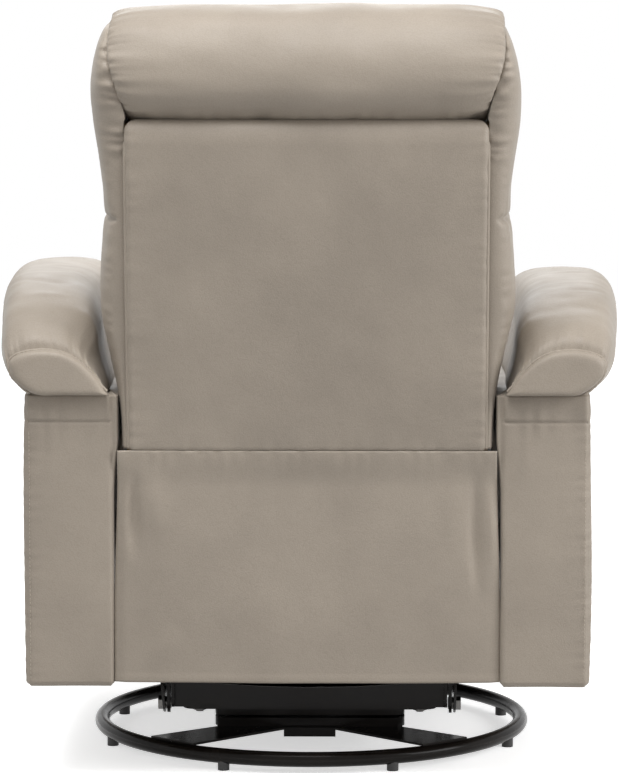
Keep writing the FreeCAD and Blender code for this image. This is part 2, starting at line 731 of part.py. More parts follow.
channels = []
for number, sign in enumerate((1, -1)):
    near = s.channel_outer - s.channel_width if sign > 0 else -s.channel_outer
    name = "channel%d" % number
    floor = box(name + "_floor", (-s.bracket_inner, near, frame_plate_top),
                (s.bracket_inner * 2, s.channel_width, s.channel_wall))
    webs = []
    for web, offset in enumerate((0, s.channel_width - s.channel_wall)):
        webs.append(box("%s_web%d" % (name, web), (-s.bracket_inner, near + offset, frame_plate_top),
                        (s.bracket_inner * 2, s.channel_wall, s.channel_height)))
    # The upper edges dip along one wide arc: its radius follows from the half span and the dip.
    dip_radius = (s.bracket_inner * s.bracket_inner + s.channel_dip * s.channel_dip) / (s.channel_dip * 2)
    dip_centre = frame_plate_top + s.channel_height - s.channel_dip + dip_radius
    dip = cylinder(name + "_dip", (0, near - s.channel_wall, dip_centre), dip_radius,
                   s.channel_width + s.channel_wall * 2, "y")
    bores = []
    for bore, across_sign in enumerate((1, -1)):
        bores.append(cylinder("%s_bore%d" % (name, bore),
                              (s.bolt_across * across_sign, channel_middle * sign, frame_plate_top),
                              s.bolt_radius, s.channel_wall))
    channels.append(cut(name, fuse(name + "_blank", [floor] + webs), group(name + "_tools", [dip] + bores)))
keep("glider_channels", group("channels", channels))

bolts = []
bolt_top = frame_plate_top + s.channel_wall
for number, (x, y) in enumerate(bolt_spots):
    shank = cylinder("frame_bolt%d" % number, (x, y, upper_pan_top - s.bolt_stub), s.bolt_radius,
                     bolt_top - upper_pan_top + s.bolt_stub)
    nut = hexagon("frame_nut%d" % number, (x, y, upper_pan_top - s.bolt_stub + 2), s.bolt_radius + 4,
                  s.bolt_stub - 2)
    head = hexagon("frame_head%d" % number, (x, y, bolt_top), s.bolt_radius + 4, s.bolt_radius)
    bolts.append(fuse("frame_bolt_set%d" % number, [shank, nut, head]))
keep("frame_bolts", group("bolts", bolts))

bracket_outer = s.bracket_inner + s.bracket_plate
link_inner = bracket_outer + s.link_gap
link_outer = link_inner + s.glide_link_plate
hanger_inner = link_outer + s.link_gap
post_top = s.glide_top + s.post_half_width
glide_bottom = s.glide_top - s.glide_length
bracket_half = [
    (s.bracket_half_length - 4, s.bracket_bottom),
    (s.bracket_half_length, s.bracket_waist - 10),
    (s.glide_pivot + s.post_half_width, post_top),
    (s.glide_pivot - s.post_half_width, post_top),
    (s.glide_pivot - s.post_half_width * 1.75, s.bracket_waist),
]
bracket_corners = bracket_half + [(-y, z) for y, z in reversed(bracket_half)]
window_half = s.glide_pivot * 0.3
bracket_window = [
    (-window_half, s.bracket_bottom + 16), (window_half, s.bracket_bottom + 16),
    (window_half - 8, s.bracket_waist - 14), (8 - window_half, s.bracket_waist - 14)]
for side_name, side in SIDES:
    plate = side_plate("bracket_" + side_name, side, s.bracket_inner, s.bracket_plate, bracket_corners,
                       [(s.glide_pivot, s.glide_top, s.pivot_radius),
                        (-s.glide_pivot, s.glide_top, s.pivot_radius)], [bracket_window], 5)
    keep("glider_bracket_" + side_name, plate)


def from_side(side, inner, thickness):
    """The lower X of a piece that is inner from the middle plane and thickness wide."""
    return inner if side > 0 else -(inner + thickness)


upper_bolts = []
bumpers = []
bumper_place = s.glide_pivot - (s.bumper_drop * sine(s.glide_reach) + s.glide_link_width / 2
                                + s.bumper_radius + 0.5) / cosine(s.glide_reach)
bumper_length = link_outer - bracket_outer + 1
for side_name, side in SIDES:
    for number, sign in enumerate((1, -1)):
        name = "upper_bolt_%s%d" % (side_name, number)
        y = s.glide_pivot * sign
        z = s.glide_top
        head_length = s.pivot_radius
        shank_start = s.bracket_inner - head_length
        washer = s.link_gap - s.washer_gap
        shank_length = link_outer + s.washer_gap + washer - shank_start
        parts = [
            cylinder(name + "_shank", (from_side(side, shank_start, shank_length), y, z),
                     s.pivot_radius, shank_length, "x"),
            hexagon(name + "_head", (from_side(side, shank_start, head_length), y, z),
                    s.pivot_head, head_length, "x"),
            cylinder(name + "_shoulder", (from_side(side, bracket_outer, washer), y, z),
                     s.pivot_head - 1, washer, "x"),
            cylinder(name + "_collar", (from_side(side, link_outer + s.washer_gap, washer), y, z),
                     s.pivot_head - 1, washer, "x"),
        ]
        upper_bolts.append(fuse(name, parts))
        bumpers.append(cylinder("bumper_%s%d" % (side_name, number),
                                (from_side(side, bracket_outer, bumper_length), bumper_place * sign,
                                 s.glide_top - s.bumper_drop), s.bumper_radius, bumper_length, "x"))
keep("upper_pivot_bolts", group("upper_bolts", upper_bolts))
keep("glide_bumpers", group("bumpers", bumpers))

# Glide links: two parallel pairs hang the chassis from the swivel frame

glide_hole = s.pivot_radius + s.running
for pair, sign in (("rear", 1), ("front", -1)):
    pieces = []
    for side_name, side in SIDES:
        pieces.append(link("%s_glide_%s" % (pair, side_name), side, link_inner, s.glide_link_plate,
                           s.glide_link_width, (s.glide_pivot * sign, s.glide_top), -90, s.glide_length,
                           glide_hole, glide_hole))
    keep(pair + "_glide_links", group(pair + "_glides", pieces))

# Chassis: hanging rails, cross tubes, pivot bolts and the rear stretcher

hanger_outer = hanger_inner + s.rail_plate
side_plate_inner = s.rail_outer - s.rail_plate
shelf_top = s.rail_shelf + s.rail_plate
pivot_eye = s.recline_pin + 14
lift_spots = (s.lift_place, -s.lift_place)
lift_hole = s.pivot_radius + s.running
for side_name, side in SIDES:
    name = "rail_" + side_name
    hanger = side_plate(name + "_hanger", side, hanger_inner, s.rail_plate, [
        (-s.hanger_half_length, s.rail_bottom + 6), (-s.hanger_half_length + 14, s.rail_bottom),
        (s.hanger_half_length - 14, s.rail_bottom), (s.hanger_half_length, s.rail_bottom + 6),
        (s.rail_rear - 40, s.rail_shelf), (s.rail_rear - 40, shelf_top),
        (-s.rail_front, shelf_top), (-s.rail_front, s.rail_shelf)],
        [(s.glide_pivot, glide_bottom, s.pivot_radius), (-s.glide_pivot, glide_bottom, s.pivot_radius)],
        [[(y - 35, s.rail_bottom + 24), (y + 35, s.rail_bottom + 24), (y + 35, s.rail_shelf - 14),
          (y - 35, s.rail_shelf - 14)] for y in (-s.glide_pivot * 0.55, 0, s.glide_pivot * 0.55)], 2)
    shelf_width = s.rail_outer - hanger_inner
    shelf = box(name + "_shelf", (from_side(side, hanger_inner, shelf_width), -s.rail_front, s.rail_shelf),
                (shelf_width, s.rail_front + s.rail_rear, s.rail_plate))
    wall = side_plate(name + "_wall", side, side_plate_inner, s.rail_plate, [
        (-s.rail_front, s.rail_shelf), (s.rail_rear, s.rail_shelf),
        (s.rail_rear, s.recline_height + pivot_eye),
        (s.recline_place - pivot_eye, s.recline_height + pivot_eye),
        (s.recline_place - pivot_eye * 2.5, s.rail_top), (-s.rail_front, s.rail_top)],
        [(s.recline_place, s.recline_height, s.recline_pin + s.running)]
        + [(y, s.lift_height, lift_hole) for y in lift_spots],
        [[(y - 26, shelf_top + 10), (y + 26, shelf_top + 10), (y + 18, s.lift_height - 18),
          (y - 18, s.lift_height - 18)] for y in (-30, 30)], 2)
    keep("glide_rail_" + side_name, fuse(name, [hanger, shelf, wall]))

tubes = []
for number, sign in enumerate((1, -1)):
    tubes.append(cylinder("cross_tube%d" % number, (-side_plate_inner, s.tube_place * sign, s.tube_height),
                          s.tube_radius, side_plate_inner * 2, "x"))
keep("cross_tubes", group("tubes", tubes))
keep("rear_stretcher", box("stretcher", (-s.rail_outer, s.stretcher_front, s.stretcher_bottom),
                           (s.rail_outer * 2, s.stretcher_depth, s.stretcher_height)))

lower_bolts = []
for side_name, side in SIDES:
    for number, sign in enumerate((1, -1)):
        name = "lower_bolt_%s%d" % (side_name, number)
        y = s.glide_pivot * sign
        collar = s.link_gap / 2 - s.washer_gap
        shank_start = link_inner - s.washer_gap - collar
        shank_length = hanger_outer - shank_start
        shoulder = s.link_gap - s.washer_gap
        parts = [
            cylinder(name + "_shank", (from_side(side, shank_start, shank_length), y, glide_bottom),
                     s.pivot_radius, shank_length, "x"),
            cylinder(name + "_collar", (from_side(side, shank_start, collar), y, glide_bottom),
                     s.pivot_head - 1, collar, "x"),
            cylinder(name + "_shoulder", (from_side(side, link_outer + s.washer_gap, shoulder), y,
                                          glide_bottom), s.pivot_head - 1, shoulder, "x"),
            hexagon(name + "_head", (from_side(side, hanger_outer, s.pivot_head_height), y, glide_bottom),
                    s.pivot_head, s.pivot_head_height, "x"),
        ]
        lower_bolts.append(fuse(name, parts))
keep("lower_pivot_bolts", group("lower_bolts", lower_bolts))

# Arms: a wooden frame inside a padded cover, with a pillow on top

inner_x = s.rail_outer.number
outer_x = (s.rail_outer + s.arm_width).number
box_low = s.arm_bottom.number
box_high = s.arm_top.number
ARM_LEVELS = ((0, 5), (0.06, 0), (0.5, -3), (0.93, 0), (1, 2))
arm_wires = []
for share, inset in ARM_LEVELS:
    height = box_low + share * (box_high - box_low)
    arm_wires.append(rounded_wire((inner_x, inset - s.arm_front.number),
                                  (outer_x - inset, s.arm_rear.number - inset), s.arm_corner.number,
                                  (0, s.arm_swell.number, 2, 3), level(height)))
arm_form = Part.makeLoft(arm_wires, True, True)
for side_name, side in SIDES:
    outer = form("arm_form_" + side_name, arm_form if side > 0 else mirrored(arm_form))
    cavity_width = s.arm_width - s.arm_wall * 2
    cavity_length = s.arm_rear + s.arm_front - s.arm_wall * 2
    cavity_height = s.arm_top - s.arm_bottom - s.arm_wall
    cavity_inner = s.rail_outer + s.arm_wall
    cavity = box("arm_cavity_" + side_name, (from_side(side, cavity_inner, cavity_width),
                                             s.arm_wall - s.arm_front, s.arm_bottom),
                 (cavity_width, cavity_length, cavity_height))
    keep("arm_cover_" + side_name, cut("arm_cover_cut_" + side_name, outer, cavity))
    # The frame: an inner panel, two posts, a foot rail and a top board
    foot = s.arm_bottom + 6
    head = s.arm_top - s.arm_wall
    depth = cavity_width
    front = s.arm_wall - s.arm_front
    rear_post = front + cavity_length - s.board
    pieces = [
        box("arm_panel_" + side_name, (from_side(side, cavity_inner, s.board), front, foot),
            (s.board, cavity_length, head - foot)),
        box("arm_post_front_" + side_name, (from_side(side, cavity_inner, depth), front, foot),
            (depth, s.board, head - foot)),
        box("arm_post_rear_" + side_name, (from_side(side, cavity_inner, depth), rear_post, foot),
            (depth, s.board, head - foot)),
        box("arm_board_" + side_name, (from_side(side, cavity_inner, depth), front, head - s.board),
            (depth, cavity_length, s.board)),
        box("arm_foot_" + side_name, (from_side(side, cavity_inner, s.board * 2), front, foot),
            (s.board * 2, cavity_length, s.board)),
    ]
    windows = []
    for number, start in enumerate((-s.arm_front + 70, 30)):
        windows.append(box("arm_window_%s%d" % (side_name, number),
                           (from_side(side, cavity_inner, s.board), start, foot + 60),
                           (s.board, 240, 200)))
    blank = fuse("arm_frame_blank_" + side_name, pieces)
    keep("arm_frame_" + side_name, cut("arm_frame_cut_" + side_name, blank,
                                       group("arm_windows_" + side_name, windows)))

# The pillow's outline at one place along the arm, from its inner lower corner round and back
pad_seat = box_high
pad_sole = outer_x + 1
PAD_SECTIONS = (
    # place from the middle to an end, outer side, top, inner side, each as a share
    (1.000, 0.72, 0.37, -0.15),
    (0.975, 0.78, 0.41, -0.15),
    (0.935, 0.86, 0.52, -0.10),
    (0.850, 0.95, 0.68, 0.0),
    (0.600, 1.00, 0.90, 0.0),
    (0.000, 1.00, 1.00, 0.0),
    (-0.650, 1.00, 0.95, 0.0),
    (-0.900, 0.985, 0.78, 0.0),
    (-1.000, 0.92, 0.47, 0.05),
)
pad_wires = []
pad_width = s.pad_outer.number - s.pad_inner.number
for place_share, outer_share, top_share, inner_share in PAD_SECTIONS:
    place_along = place_share * (s.pad_rear.number if place_share > 0 else s.pad_front.number)
    low_x = s.pad_inner.number + inner_share * pad_width
    high_x = s.pad_inner.number + outer_share * pad_width
    rise = top_share * (s.pad_top.number - pad_seat)
    crest = low_x + 0.55 * (high_x - low_x)
    shoulder = low_x + 0.10 * (high_x - low_x)
    sole_edge = min(pad_sole, high_x - 0.3 * pad_width)
    upper = [
        (sole_edge, 0), (high_x - 0.13 * pad_width, 0.13), (high_x, 0.46),
        (high_x - 0.10 * pad_width, 0.84), (crest, 1.0), ((crest + shoulder) / 2, 0.965),
        (shoulder, 0.82), (low_x + 0.005 * pad_width, 0.5), (low_x, 0),
    ]
    outline = [(x, pad_seat + share * rise) for x, share in upper]
    pad_wires.append(sole_and_arcs(outline, along(place_along)))
pad_form = Part.makeLoft(pad_wires, True, True)
for side_name, side in SIDES:
    keep("arm_pad_" + side_name, form("pad_" + side_name, pad_form if side > 0 else mirrored(pad_form)))

# Release tab between the seat and the sitter's right arm

tab_outer = s.rail_outer - s.soft_gap
tab = doc.addObject("PartDesign::Body", "tab")
tab_sketch = new_sketch(tab, "tab_outline", "YZ_Plane")
tab_low = -s.tab_place - s.tab_width / 2
draw_outline(tab_sketch, [
    (tab_low, s.tab_bottom), (tab_low + s.tab_width, s.tab_bottom),
    (tab_low + s.tab_width, s.tab_bottom + s.tab_height), (tab_low, s.tab_bottom + s.tab_height)])
tab_pad = pad(tab, tab_sketch, s.tab_thickness)
round_corners(tab, tab_pad, Vector(1, 0, 0), s.tab_width / 4)
finger = new_sketch(tab, "tab_finger", "YZ_Plane")
draw_circle(finger, -s.tab_place, s.tab_bottom + s.tab_height - s.tab_width / 2, s.tab_width / 4)
pocket(tab, finger)
place(tab, (-tab_outer, 0, 0))
keep("release_tab", tab)

# Seat: side plates on lift links, wooden rails, webbing and the cushion

seat_inner = s.seat_plate_outer - s.seat_plate
lift_along = s.lift_length * sine(s.lift_rest)
lift_up = s.lift_length * cosine(s.lift_rest)
seat_pivot_height = s.lift_height + lift_up
seat_holes = [(s.lift_place + lift_along, seat_pivot_height, lift_hole),
              (lift_along - s.lift_place, seat_pivot_height, lift_hole),
              (-s.front_pivot_place, s.front_pivot_height, s.ottoman_pin + s.running),
              (-s.rear_pivot_place, s.rear_pivot_height, s.ottoman_pin + s.running)]
seat_corners = [
    (s.seat_plate_rear, s.seat_plate_bottom), (s.seat_plate_rear, s.seat_plate_top),
    (-s.seat_plate_front, s.seat_plate_top), (-s.seat_plate_front, s.front_pivot_height - 8),
    (-s.front_pivot_place + 6, s.front_pivot_height - 18), (-s.lift_place - 20, s.seat_plate_bottom)]
window_low = s.seat_plate_bottom + 40
window_high = s.seat_plate_top - 40
seat_windows = [[(y, window_low), (y + 84, window_low), (y + 84, window_high), (y, window_high)]
                for y in (-205, -95, 15)]
for side_name, side in SIDES:
    keep("seat_plate_" + side_name, side_plate("seat_plate_" + side_name, side, seat_inner, s.seat_plate,
                                               seat_corners, seat_holes, seat_windows, 6))

rail_low = s.seat_plate_top - s.rail_height
seat_rails = [
    box("seat_rail_front", (-seat_inner, -s.seat_plate_front - 16, rail_low),
        (seat_inner * 2, s.rail_depth, s.rail_height)),
    box("seat_rail_rear", (-seat_inner, s.seat_plate_rear - s.rail_depth - 8, rail_low),
        (seat_inner * 2, s.rail_depth, s.rail_height)),
]
keep("seat_rails", group("rails", seat_rails))

web_front = -s.seat_plate_front - 16
web_length = s.seat_plate_rear - 8 - web_front
bands = []
for number in range(4):
    x = (number - 1.5) * 100
    bands.append(box("web_long%d" % number, (x - s.web_width / 2, web_front, s.seat_plate_top),
                     (s.web_width, web_length, s.web_thickness)))
for number in range(3):
    y = -250 + 130 * number
    bands.append(box("web_cross%d" % number, (-seat_inner, y, s.seat_plate_top - s.web_thickness),
                     (seat_inner * 2, s.web_width, s.web_thickness)))
keep("seat_webbing", fuse("webbing", bands))

cushion_bottom = (s.seat_plate_top + s.web_thickness).number
keep("seat_cushion", form("seat_cushion_form", crowned(
    (-s.seat_front.number, cushion_bottom), (s.seat_rear.number, s.seat_top.number),
    s.seat_half_width.number, 26, (5, 2, 0, 3), (14, 6, 0, 14), s.seat_crown.number)))

lift_inner = s.seat_plate_outer + s.link_gap
lift_pin_in = s.link_gap + s.seat_plate
lift_pin_out = side_plate_inner - lift_inner - s.lift_plate + s.rail_plate - 0.2
for pair, sign in (("rear", 1), ("front", -1)):
    pieces = []
    for side_name, side in SIDES:
        pieces.append(link("%s_lift_%s" % (pair, side_name), side, lift_inner, s.lift_plate, s.lift_width,
                           (s.lift_place * sign, s.lift_height), 90 - s.lift_rest, s.lift_length,
                           None, None, (s.pivot_radius, 0, lift_pin_out), (s.pivot_radius, lift_pin_in, 0)))
    keep(pair + "_seat_links", group(pair + "_lifts", pieces))

# Back, drawn upright in its own frame and leaned over as one

back_base = Vector(0, s.back_foot.number, s.back_base.number)
back_frame = Placement(back_base, Rotation(Vector(1, 0, 0), -s.back_lean.number))


def lean(obj):
    """Move a piece drawn in the back's own frame to its leaning place."""
    obj.setExpression("Placement.Base.x", None)
    obj.setExpression("Placement.Base.y", None)
    obj.setExpression("Placement.Base.z", None)
    obj.Placement = back_frame.multiply(obj.Placement)
    return obj


pivot_run = s.recline_place - s.back_foot
pivot_rise = s.recline_height - s.back_base
pivot_v = pivot_run * cosine(s.back_lean) - pivot_rise * sine(s.back_lean)
pivot_w = pivot_run * sine(s.back_lean) + pivot_rise * cosine(s.back_lean)
stile_rear = -s.insert_depth
stile_front = stile_rear - s.stile_depth
stile_top = s.insert_height - 8
bracket_gap = side_plate_inner - s.stile_outer - s.back_bracket_plate
for side_name, side in SIDES:
    name = "back_bracket_" + side_name
    body = doc.addObject("PartDesign::Body", name + "_body")
    outline = new_sketch(body, name + "_outline", "YZ_Plane")
    draw_outline(outline, [
        (pivot_v - 18, pivot_w - 16), (pivot_v + 20, pivot_w - 16), (stile_rear, -s.stile_bottom),
        (stile_rear, 30), (stile_front + 4, 30), (stile_front + 4, -s.stile_bottom + 30),
        (pivot_v - 18, pivot_w + 14)])
    plate = pad(body, outline, s.back_bracket_plate)
    round_corners(body, plate, Vector(1, 0, 0), 5)
    for tag, radius, reach in (("shoulder", s.recline_pin + 4, bracket_gap - s.washer_gap),
                               ("pin", s.recline_pin, bracket_gap + s.rail_plate - 0.2)):
        stub = new_sketch(body, "%s_%s" % (name, tag), "YZ_Plane")
        draw_circle(stub, pivot_v, pivot_w, radius)
        if side > 0:
            pad(body, stub, reach + s.back_bracket_plate)
        else:
            pad(body, stub, reach, True)
    place(body, (from_side(side, s.stile_outer, s.back_bracket_plate), 0, 0))
    keep(name, lean(body))
    stile = box("stile_" + side_name, (from_side(side, s.stile_outer - s.stile_width, s.stile_width),
                                       stile_front, -s.stile_bottom),
                (s.stile_width, s.stile_depth, stile_top + s.stile_bottom))
    keep("back_stile_" + side_name, lean(stile))

rail_half = s.stile_outer - s.stile_width
rail_length = rail_half * 2
bottom_rail = box("bottom_rail", (-rail_half, stile_rear - 25, 2), (rail_length, 25, 48))
keep("back_bottom_rail", lean(bottom_rail))
top_rail = box("top_rail", (-rail_half, stile_rear - 30, stile_top - 40), (rail_length, 30, 40))
keep("back_top_rail", lean(top_rail))

# Rear panel with rounded edges


def upright(depth):
    """Maps an outline's (across, up) into an upright plane of the back's own frame."""
    return lambda a, b: Vector(a, depth, b)


panel_half = s.stile_outer.number
panel_high = s.insert_height.number
panel_depth = s.insert_depth.number
panel_wires = []
for v, inset in ((-panel_depth, 0), (-5, 0), (-2.5, 1), (-0.8, 3), (0, 6)):
    panel_wires.append(rounded_wire((inset - panel_half, inset), (panel_half - inset, panel_high - inset),
                                    20, (0, 0, 0, 0), upright(v)))
keep("back_insert", lean(form("panel", Part.makeLoft(panel_wires, True, True))))

# Side wings: each is lofted upwards, narrow where it sits between the arms
widest = s.wing_half_width.number
cushion_v = -s.cushion_front.number
WING_SECTIONS = (
    # height, outer side from the widest place, front inset, rear inset
    (36, -34, 40, 12),
    (75, -29, 24, 7),
    (125, -15, 11, 3),
    (175, -2, 5, 1),
    (260, 0, 2, 0),
    (340, -8, 4, 1),
    (panel_high, -4, 8, 1),
)
wing_wires = []
for w, offset, front_inset, rear_inset in WING_SECTIONS:
    low = (panel_half + s.soft_gap.number, cushion_v + front_inset)
    high = (widest + offset, -2 - rear_inset)
    depth = high[1] - low[1]
    width = high[0] - low[0]
    wing_wires.append(sole_and_arcs([
        (low[0], low[1]), (low[0] + 0.74 * width, low[1] + 0.126 * depth), (high[0], low[1] + 0.3 * depth),
        (high[0] + 1, low[1] + 0.55 * depth), (high[0], low[1] + 0.8 * depth),
        (low[0] + 0.74 * width, high[1] - 0.084 * depth), (low[0], high[1])], level(w)))
wing_form = Part.makeLoft(wing_wires, True, True)
for side_name, side in SIDES:
    shape = wing_form if side > 0 else mirrored(wing_form)
    keep("back_wing_" + side_name, lean(form("wing_" + side_name, shape)))

# Roll along the top, behind the head cushion
gap = s.soft_gap.number
roll_low = panel_high + gap
roll_high = s.roll_top.number - 10
cushion_rear = stile_front.number - gap
keep("back_top_roll", lean(form("roll", crowned(
    (stile_front.number, roll_low), (2, roll_high), widest, 20, (0, s.roll_swell.number, 0, 10),
    (0, 12, 0, 22)))))

# Three crowned cushions on the front of the back
front_half = panel_half - 3
swell = (10, 0, 0, 0)
ends = (26, 0, 10, 10)
keep("lumbar_cushion", lean(form("lumbar_form", crowned(
    (cushion_v, 48), (cushion_rear, 222), front_half, 22, swell, ends))))
keep("middle_cushion", lean(form("middle_form", crowned(
    (cushion_v + 4, 222 + gap), (cushion_rear, 385), front_half, 22, swell, ends))))
# The head cushion spreads over the tops of the wings.
head_form = crowned((cushion_v + 8, 385 + gap), (cushion_rear, roll_high), widest - 9, 22, swell, ends)
wing_room = Part.makeBox(120, 400, 60, Vector(panel_half + gap, -300, panel_high + gap - 60))
head_form = head_form.cut(wing_room.fuse(mirrored(wing_room)))
keep("head_cushion", lean(form("head_form", head_form)))

# Rear flap, from the back's lower edge down to the stretcher
flap_place = s.stretcher_front + s.stretcher_depth + s.soft_gap
flap_top = s.back_base - s.soft_gap
keep("rear_flap", box("flap", (-s.flap_half_width, flap_place, s.flap_bottom),
                      (s.flap_half_width * 2, s.flap_thickness, flap_top - s.flap_bottom)))

# Footrest linkage. Layers run inwards from the seat plate: front links and footrest brackets,
# upper links, lower links, rear links. Every pin starts at the outer face of its outer piece.

step = s.ottoman_plate + s.ottoman_gap
layer_front = seat_inner - step
layer_upper = layer_front - step
layer_lower = layer_upper - step
layer_rear = layer_lower - step
pin = s.ottoman_pin
pin_hole = s.ottoman_pin + s.running
knee_along = -s.front_pivot_place - s.front_link * cosine(s.front_link_angle)
knee_up = s.front_pivot_height - s.front_link * sine(s.front_link_angle)
toe_along = knee_along - s.long_link * cosine(s.long_link_angle)
toe_up = knee_up + s.long_link * sine(s.long_link_angle)

front_links = []
lower_links = []
upper_links = []
rear_links = []
brackets = []
for side_name, side in SIDES:
    # The front link is drawn from its knee, the lower link's pin. Its short arm takes the upper link.
    # Seen along +X the chair faces left, so a forward slope a becomes 180 - a.
    knee = (knee_along, knee_up)
    front_links.append(link(
        "front_ottoman_" + side_name, side, layer_front, s.ottoman_plate, s.ottoman_width, knee,
        s.front_link_angle, s.front_link, None, None,
        (pin, step * 2, 0), (pin, 0, s.ottoman_gap + s.seat_plate),
        (s.spread, 90 - s.front_link_angle, None, (pin, step, 0))))
    lower_links.append(link(
        "lower_ottoman_" + side_name, side, layer_lower, s.ottoman_plate, s.ottoman_width, knee,
        180 - s.long_link_angle, s.long_link, pin_hole, pin_hole, None, None,
        (s.link_arm, -s.link_arm_angle, None, (pin, step, 0))))
    upper_links.append(link(
        "upper_ottoman_" + side_name, side, layer_upper, s.ottoman_plate, s.ottoman_width,
        (knee_along, knee_up + s.spread), 180 - s.long_link_angle, s.long_link, pin_hole, pin_hole))
    rear_links.append(link(
        "rear_ottoman_" + side_name, side, layer_rear, s.ottoman_plate, s.ottoman_width,
        (-s.rear_pivot_place, s.rear_pivot_height), s.rear_link_angle - 180, s.rear_link,
        None, pin_hole + s.open_clearance, (pin, 0, step * 3 + s.ottoman_gap + s.seat_plate)))
    # Footrest bracket: an upright plate on the two toe pins, with a flange on the board
    name = "footrest_bracket_" + side_name
    eye = s.ottoman_width / 2
    eye_top = toe_up + s.spread + eye
    web = side_plate(name + "_web", side, layer_front, s.ottoman_plate, [
        (-s.board_rear, toe_up - eye * 2), (toe_along + eye, toe_up - eye), (toe_along + eye, eye_top),
        (-s.board_rear, eye_top)])
    flange_width = 40
    flange_inner = layer_front + s.ottoman_plate - flange_width
    flange = box(name + "_flange", (from_side(side, flange_inner, flange_width), -s.board_rear,
                                    toe_up - eye * 8),
                 (flange_width, s.ottoman_plate, eye * 9 + s.spread))
    pins = []
    for number, (up, reach) in enumerate(((toe_up, step * 2), (toe_up + s.spread, step))):
        pins.append(cylinder("%s_pin%d" % (name, number),
                             (from_side(side, layer_front - reach, reach), toe_along, up), pin, reach, "x"))
    brackets.append(fuse(name, [web, flange] + pins))
keep("front_ottoman_links", group("front_ottoman", front_links))
keep("lower_ottoman_links", group("lower_ottoman", lower_links))
keep("upper_ottoman_links", group("upper_ottoman", upper_links))
torque = cylinder("torque_tube", (-layer_rear, -s.rear_pivot_place, s.rear_pivot_height), s.torque_tube,
                  layer_rear * 2, "x")
keep("rear_ottoman_links", fuse("rear_ottoman", rear_links + [torque]))
keep("footrest_brackets", group("toe_brackets", brackets))

keep("footrest_board", box("footrest_board_blank", (-s.board_half_width, -s.board_rear - s.board_thickness,
                                                    s.board_bottom),
                           (s.board_half_width * 2, s.board_thickness, s.board_top - s.board_bottom)))
pad_back = -(s.board_rear + s.board_thickness).number - gap
pad_face = pad_back - s.footrest_depth.number
keep("footrest_cushion", form("footrest_form", crowned(
    (pad_face, s.board_bottom.number - 6), (pad_back, s.board_top.number + 4),
    s.footrest_half_width.number, 14, (5, 0, 0, 0), (8, 0, 8, 8))))

# Check every object, then write each sub-part to its own file

doc.recompute()
for obj in doc.Objects:
    if "Invalid" in obj.State or "Error" in obj.State:
        raise RuntimeError("%s failed: %s" % (obj.Name, obj.State))
for node, obj in nodes.items():
    if obj.Shape.isNull() or not obj.Shape.isValid():
        raise RuntimeError("%s has no valid shape" % node)
    if not obj.Shape.Solids:
        raise RuntimeError("%s has no solid" % node)

os.makedirs("parts", exist_ok=True)
for node, obj in nodes.items():
    obj.Shape.exportStep("parts/%s.step" % node)
    box_of = obj.Shape.BoundBox
    print("%-24s solids %d  %.1f x %.1f x %.1f" % (
        node, len(obj.Shape.Solids), box_of.XLength, box_of.YLength, box_of.ZLength))
print(len(nodes), "nodes")
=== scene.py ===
# Looks of the swivel glider recliner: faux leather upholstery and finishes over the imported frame.
# Metres, +Z up, the chair faces -Y. The back has a frame of its own, which leans with it:
# x across, v rearwards from the face of its rear panel, w upwards from the panel's lower edge.
import json
import math
import bpy
import bmesh
import numpy as np
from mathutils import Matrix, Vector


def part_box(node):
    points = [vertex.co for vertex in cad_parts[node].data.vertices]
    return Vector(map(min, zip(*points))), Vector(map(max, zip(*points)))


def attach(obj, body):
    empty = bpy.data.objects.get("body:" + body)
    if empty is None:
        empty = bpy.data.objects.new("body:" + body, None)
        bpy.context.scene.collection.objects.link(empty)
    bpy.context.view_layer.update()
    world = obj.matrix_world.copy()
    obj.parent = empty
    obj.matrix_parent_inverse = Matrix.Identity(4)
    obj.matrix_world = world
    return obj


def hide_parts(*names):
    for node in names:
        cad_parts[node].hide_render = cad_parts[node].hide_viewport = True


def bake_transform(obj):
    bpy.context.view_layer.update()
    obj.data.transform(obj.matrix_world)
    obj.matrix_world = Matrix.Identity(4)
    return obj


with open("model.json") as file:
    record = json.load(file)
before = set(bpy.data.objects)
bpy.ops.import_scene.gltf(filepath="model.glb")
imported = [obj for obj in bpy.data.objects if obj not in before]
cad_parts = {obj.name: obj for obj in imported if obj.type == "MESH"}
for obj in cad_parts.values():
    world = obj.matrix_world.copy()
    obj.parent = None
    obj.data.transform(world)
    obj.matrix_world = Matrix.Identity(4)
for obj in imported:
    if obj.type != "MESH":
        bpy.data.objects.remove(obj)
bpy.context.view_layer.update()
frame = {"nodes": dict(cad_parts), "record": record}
nodes = frame["nodes"]
LEAN = math.radians(7)
BACK_FOOT = (0.345, 0.420)
SIDES = (("left", 1), ("right", -1))

# Numbers and smooth curves


def ease(value, low, high):
    """0 below low, 1 above high, smooth between."""
    t = np.clip((np.asarray(value, float) - low) / (high - low), 0, 1)
    return t * t * (3 - 2 * t)


def hump(value, centre, width):
    """1 at the centre, fading to nothing on both sides."""
    return np.exp(-((np.asarray(value, float) - centre) / width) ** 2)


def smooth_table(value, table):
    """A smooth line through a table of (place, value) rows."""
    xs, ys = np.array(table, float).T
    slopes = np.gradient(ys, xs)
    value = np.clip(value, xs[0], xs[-1])
    i = np.clip(np.searchsorted(xs, value) - 1, 0, len(xs) - 2)
    step = xs[i + 1] - xs[i]
    t = (value - xs[i]) / step
    return ((2 * t**3 - 3 * t**2 + 1) * ys[i] + (t**3 - 2 * t**2 + t) * step * slopes[i]
            + (3 * t**2 - 2 * t**3) * ys[i + 1] + (t**3 - t**2) * step * slopes[i + 1])


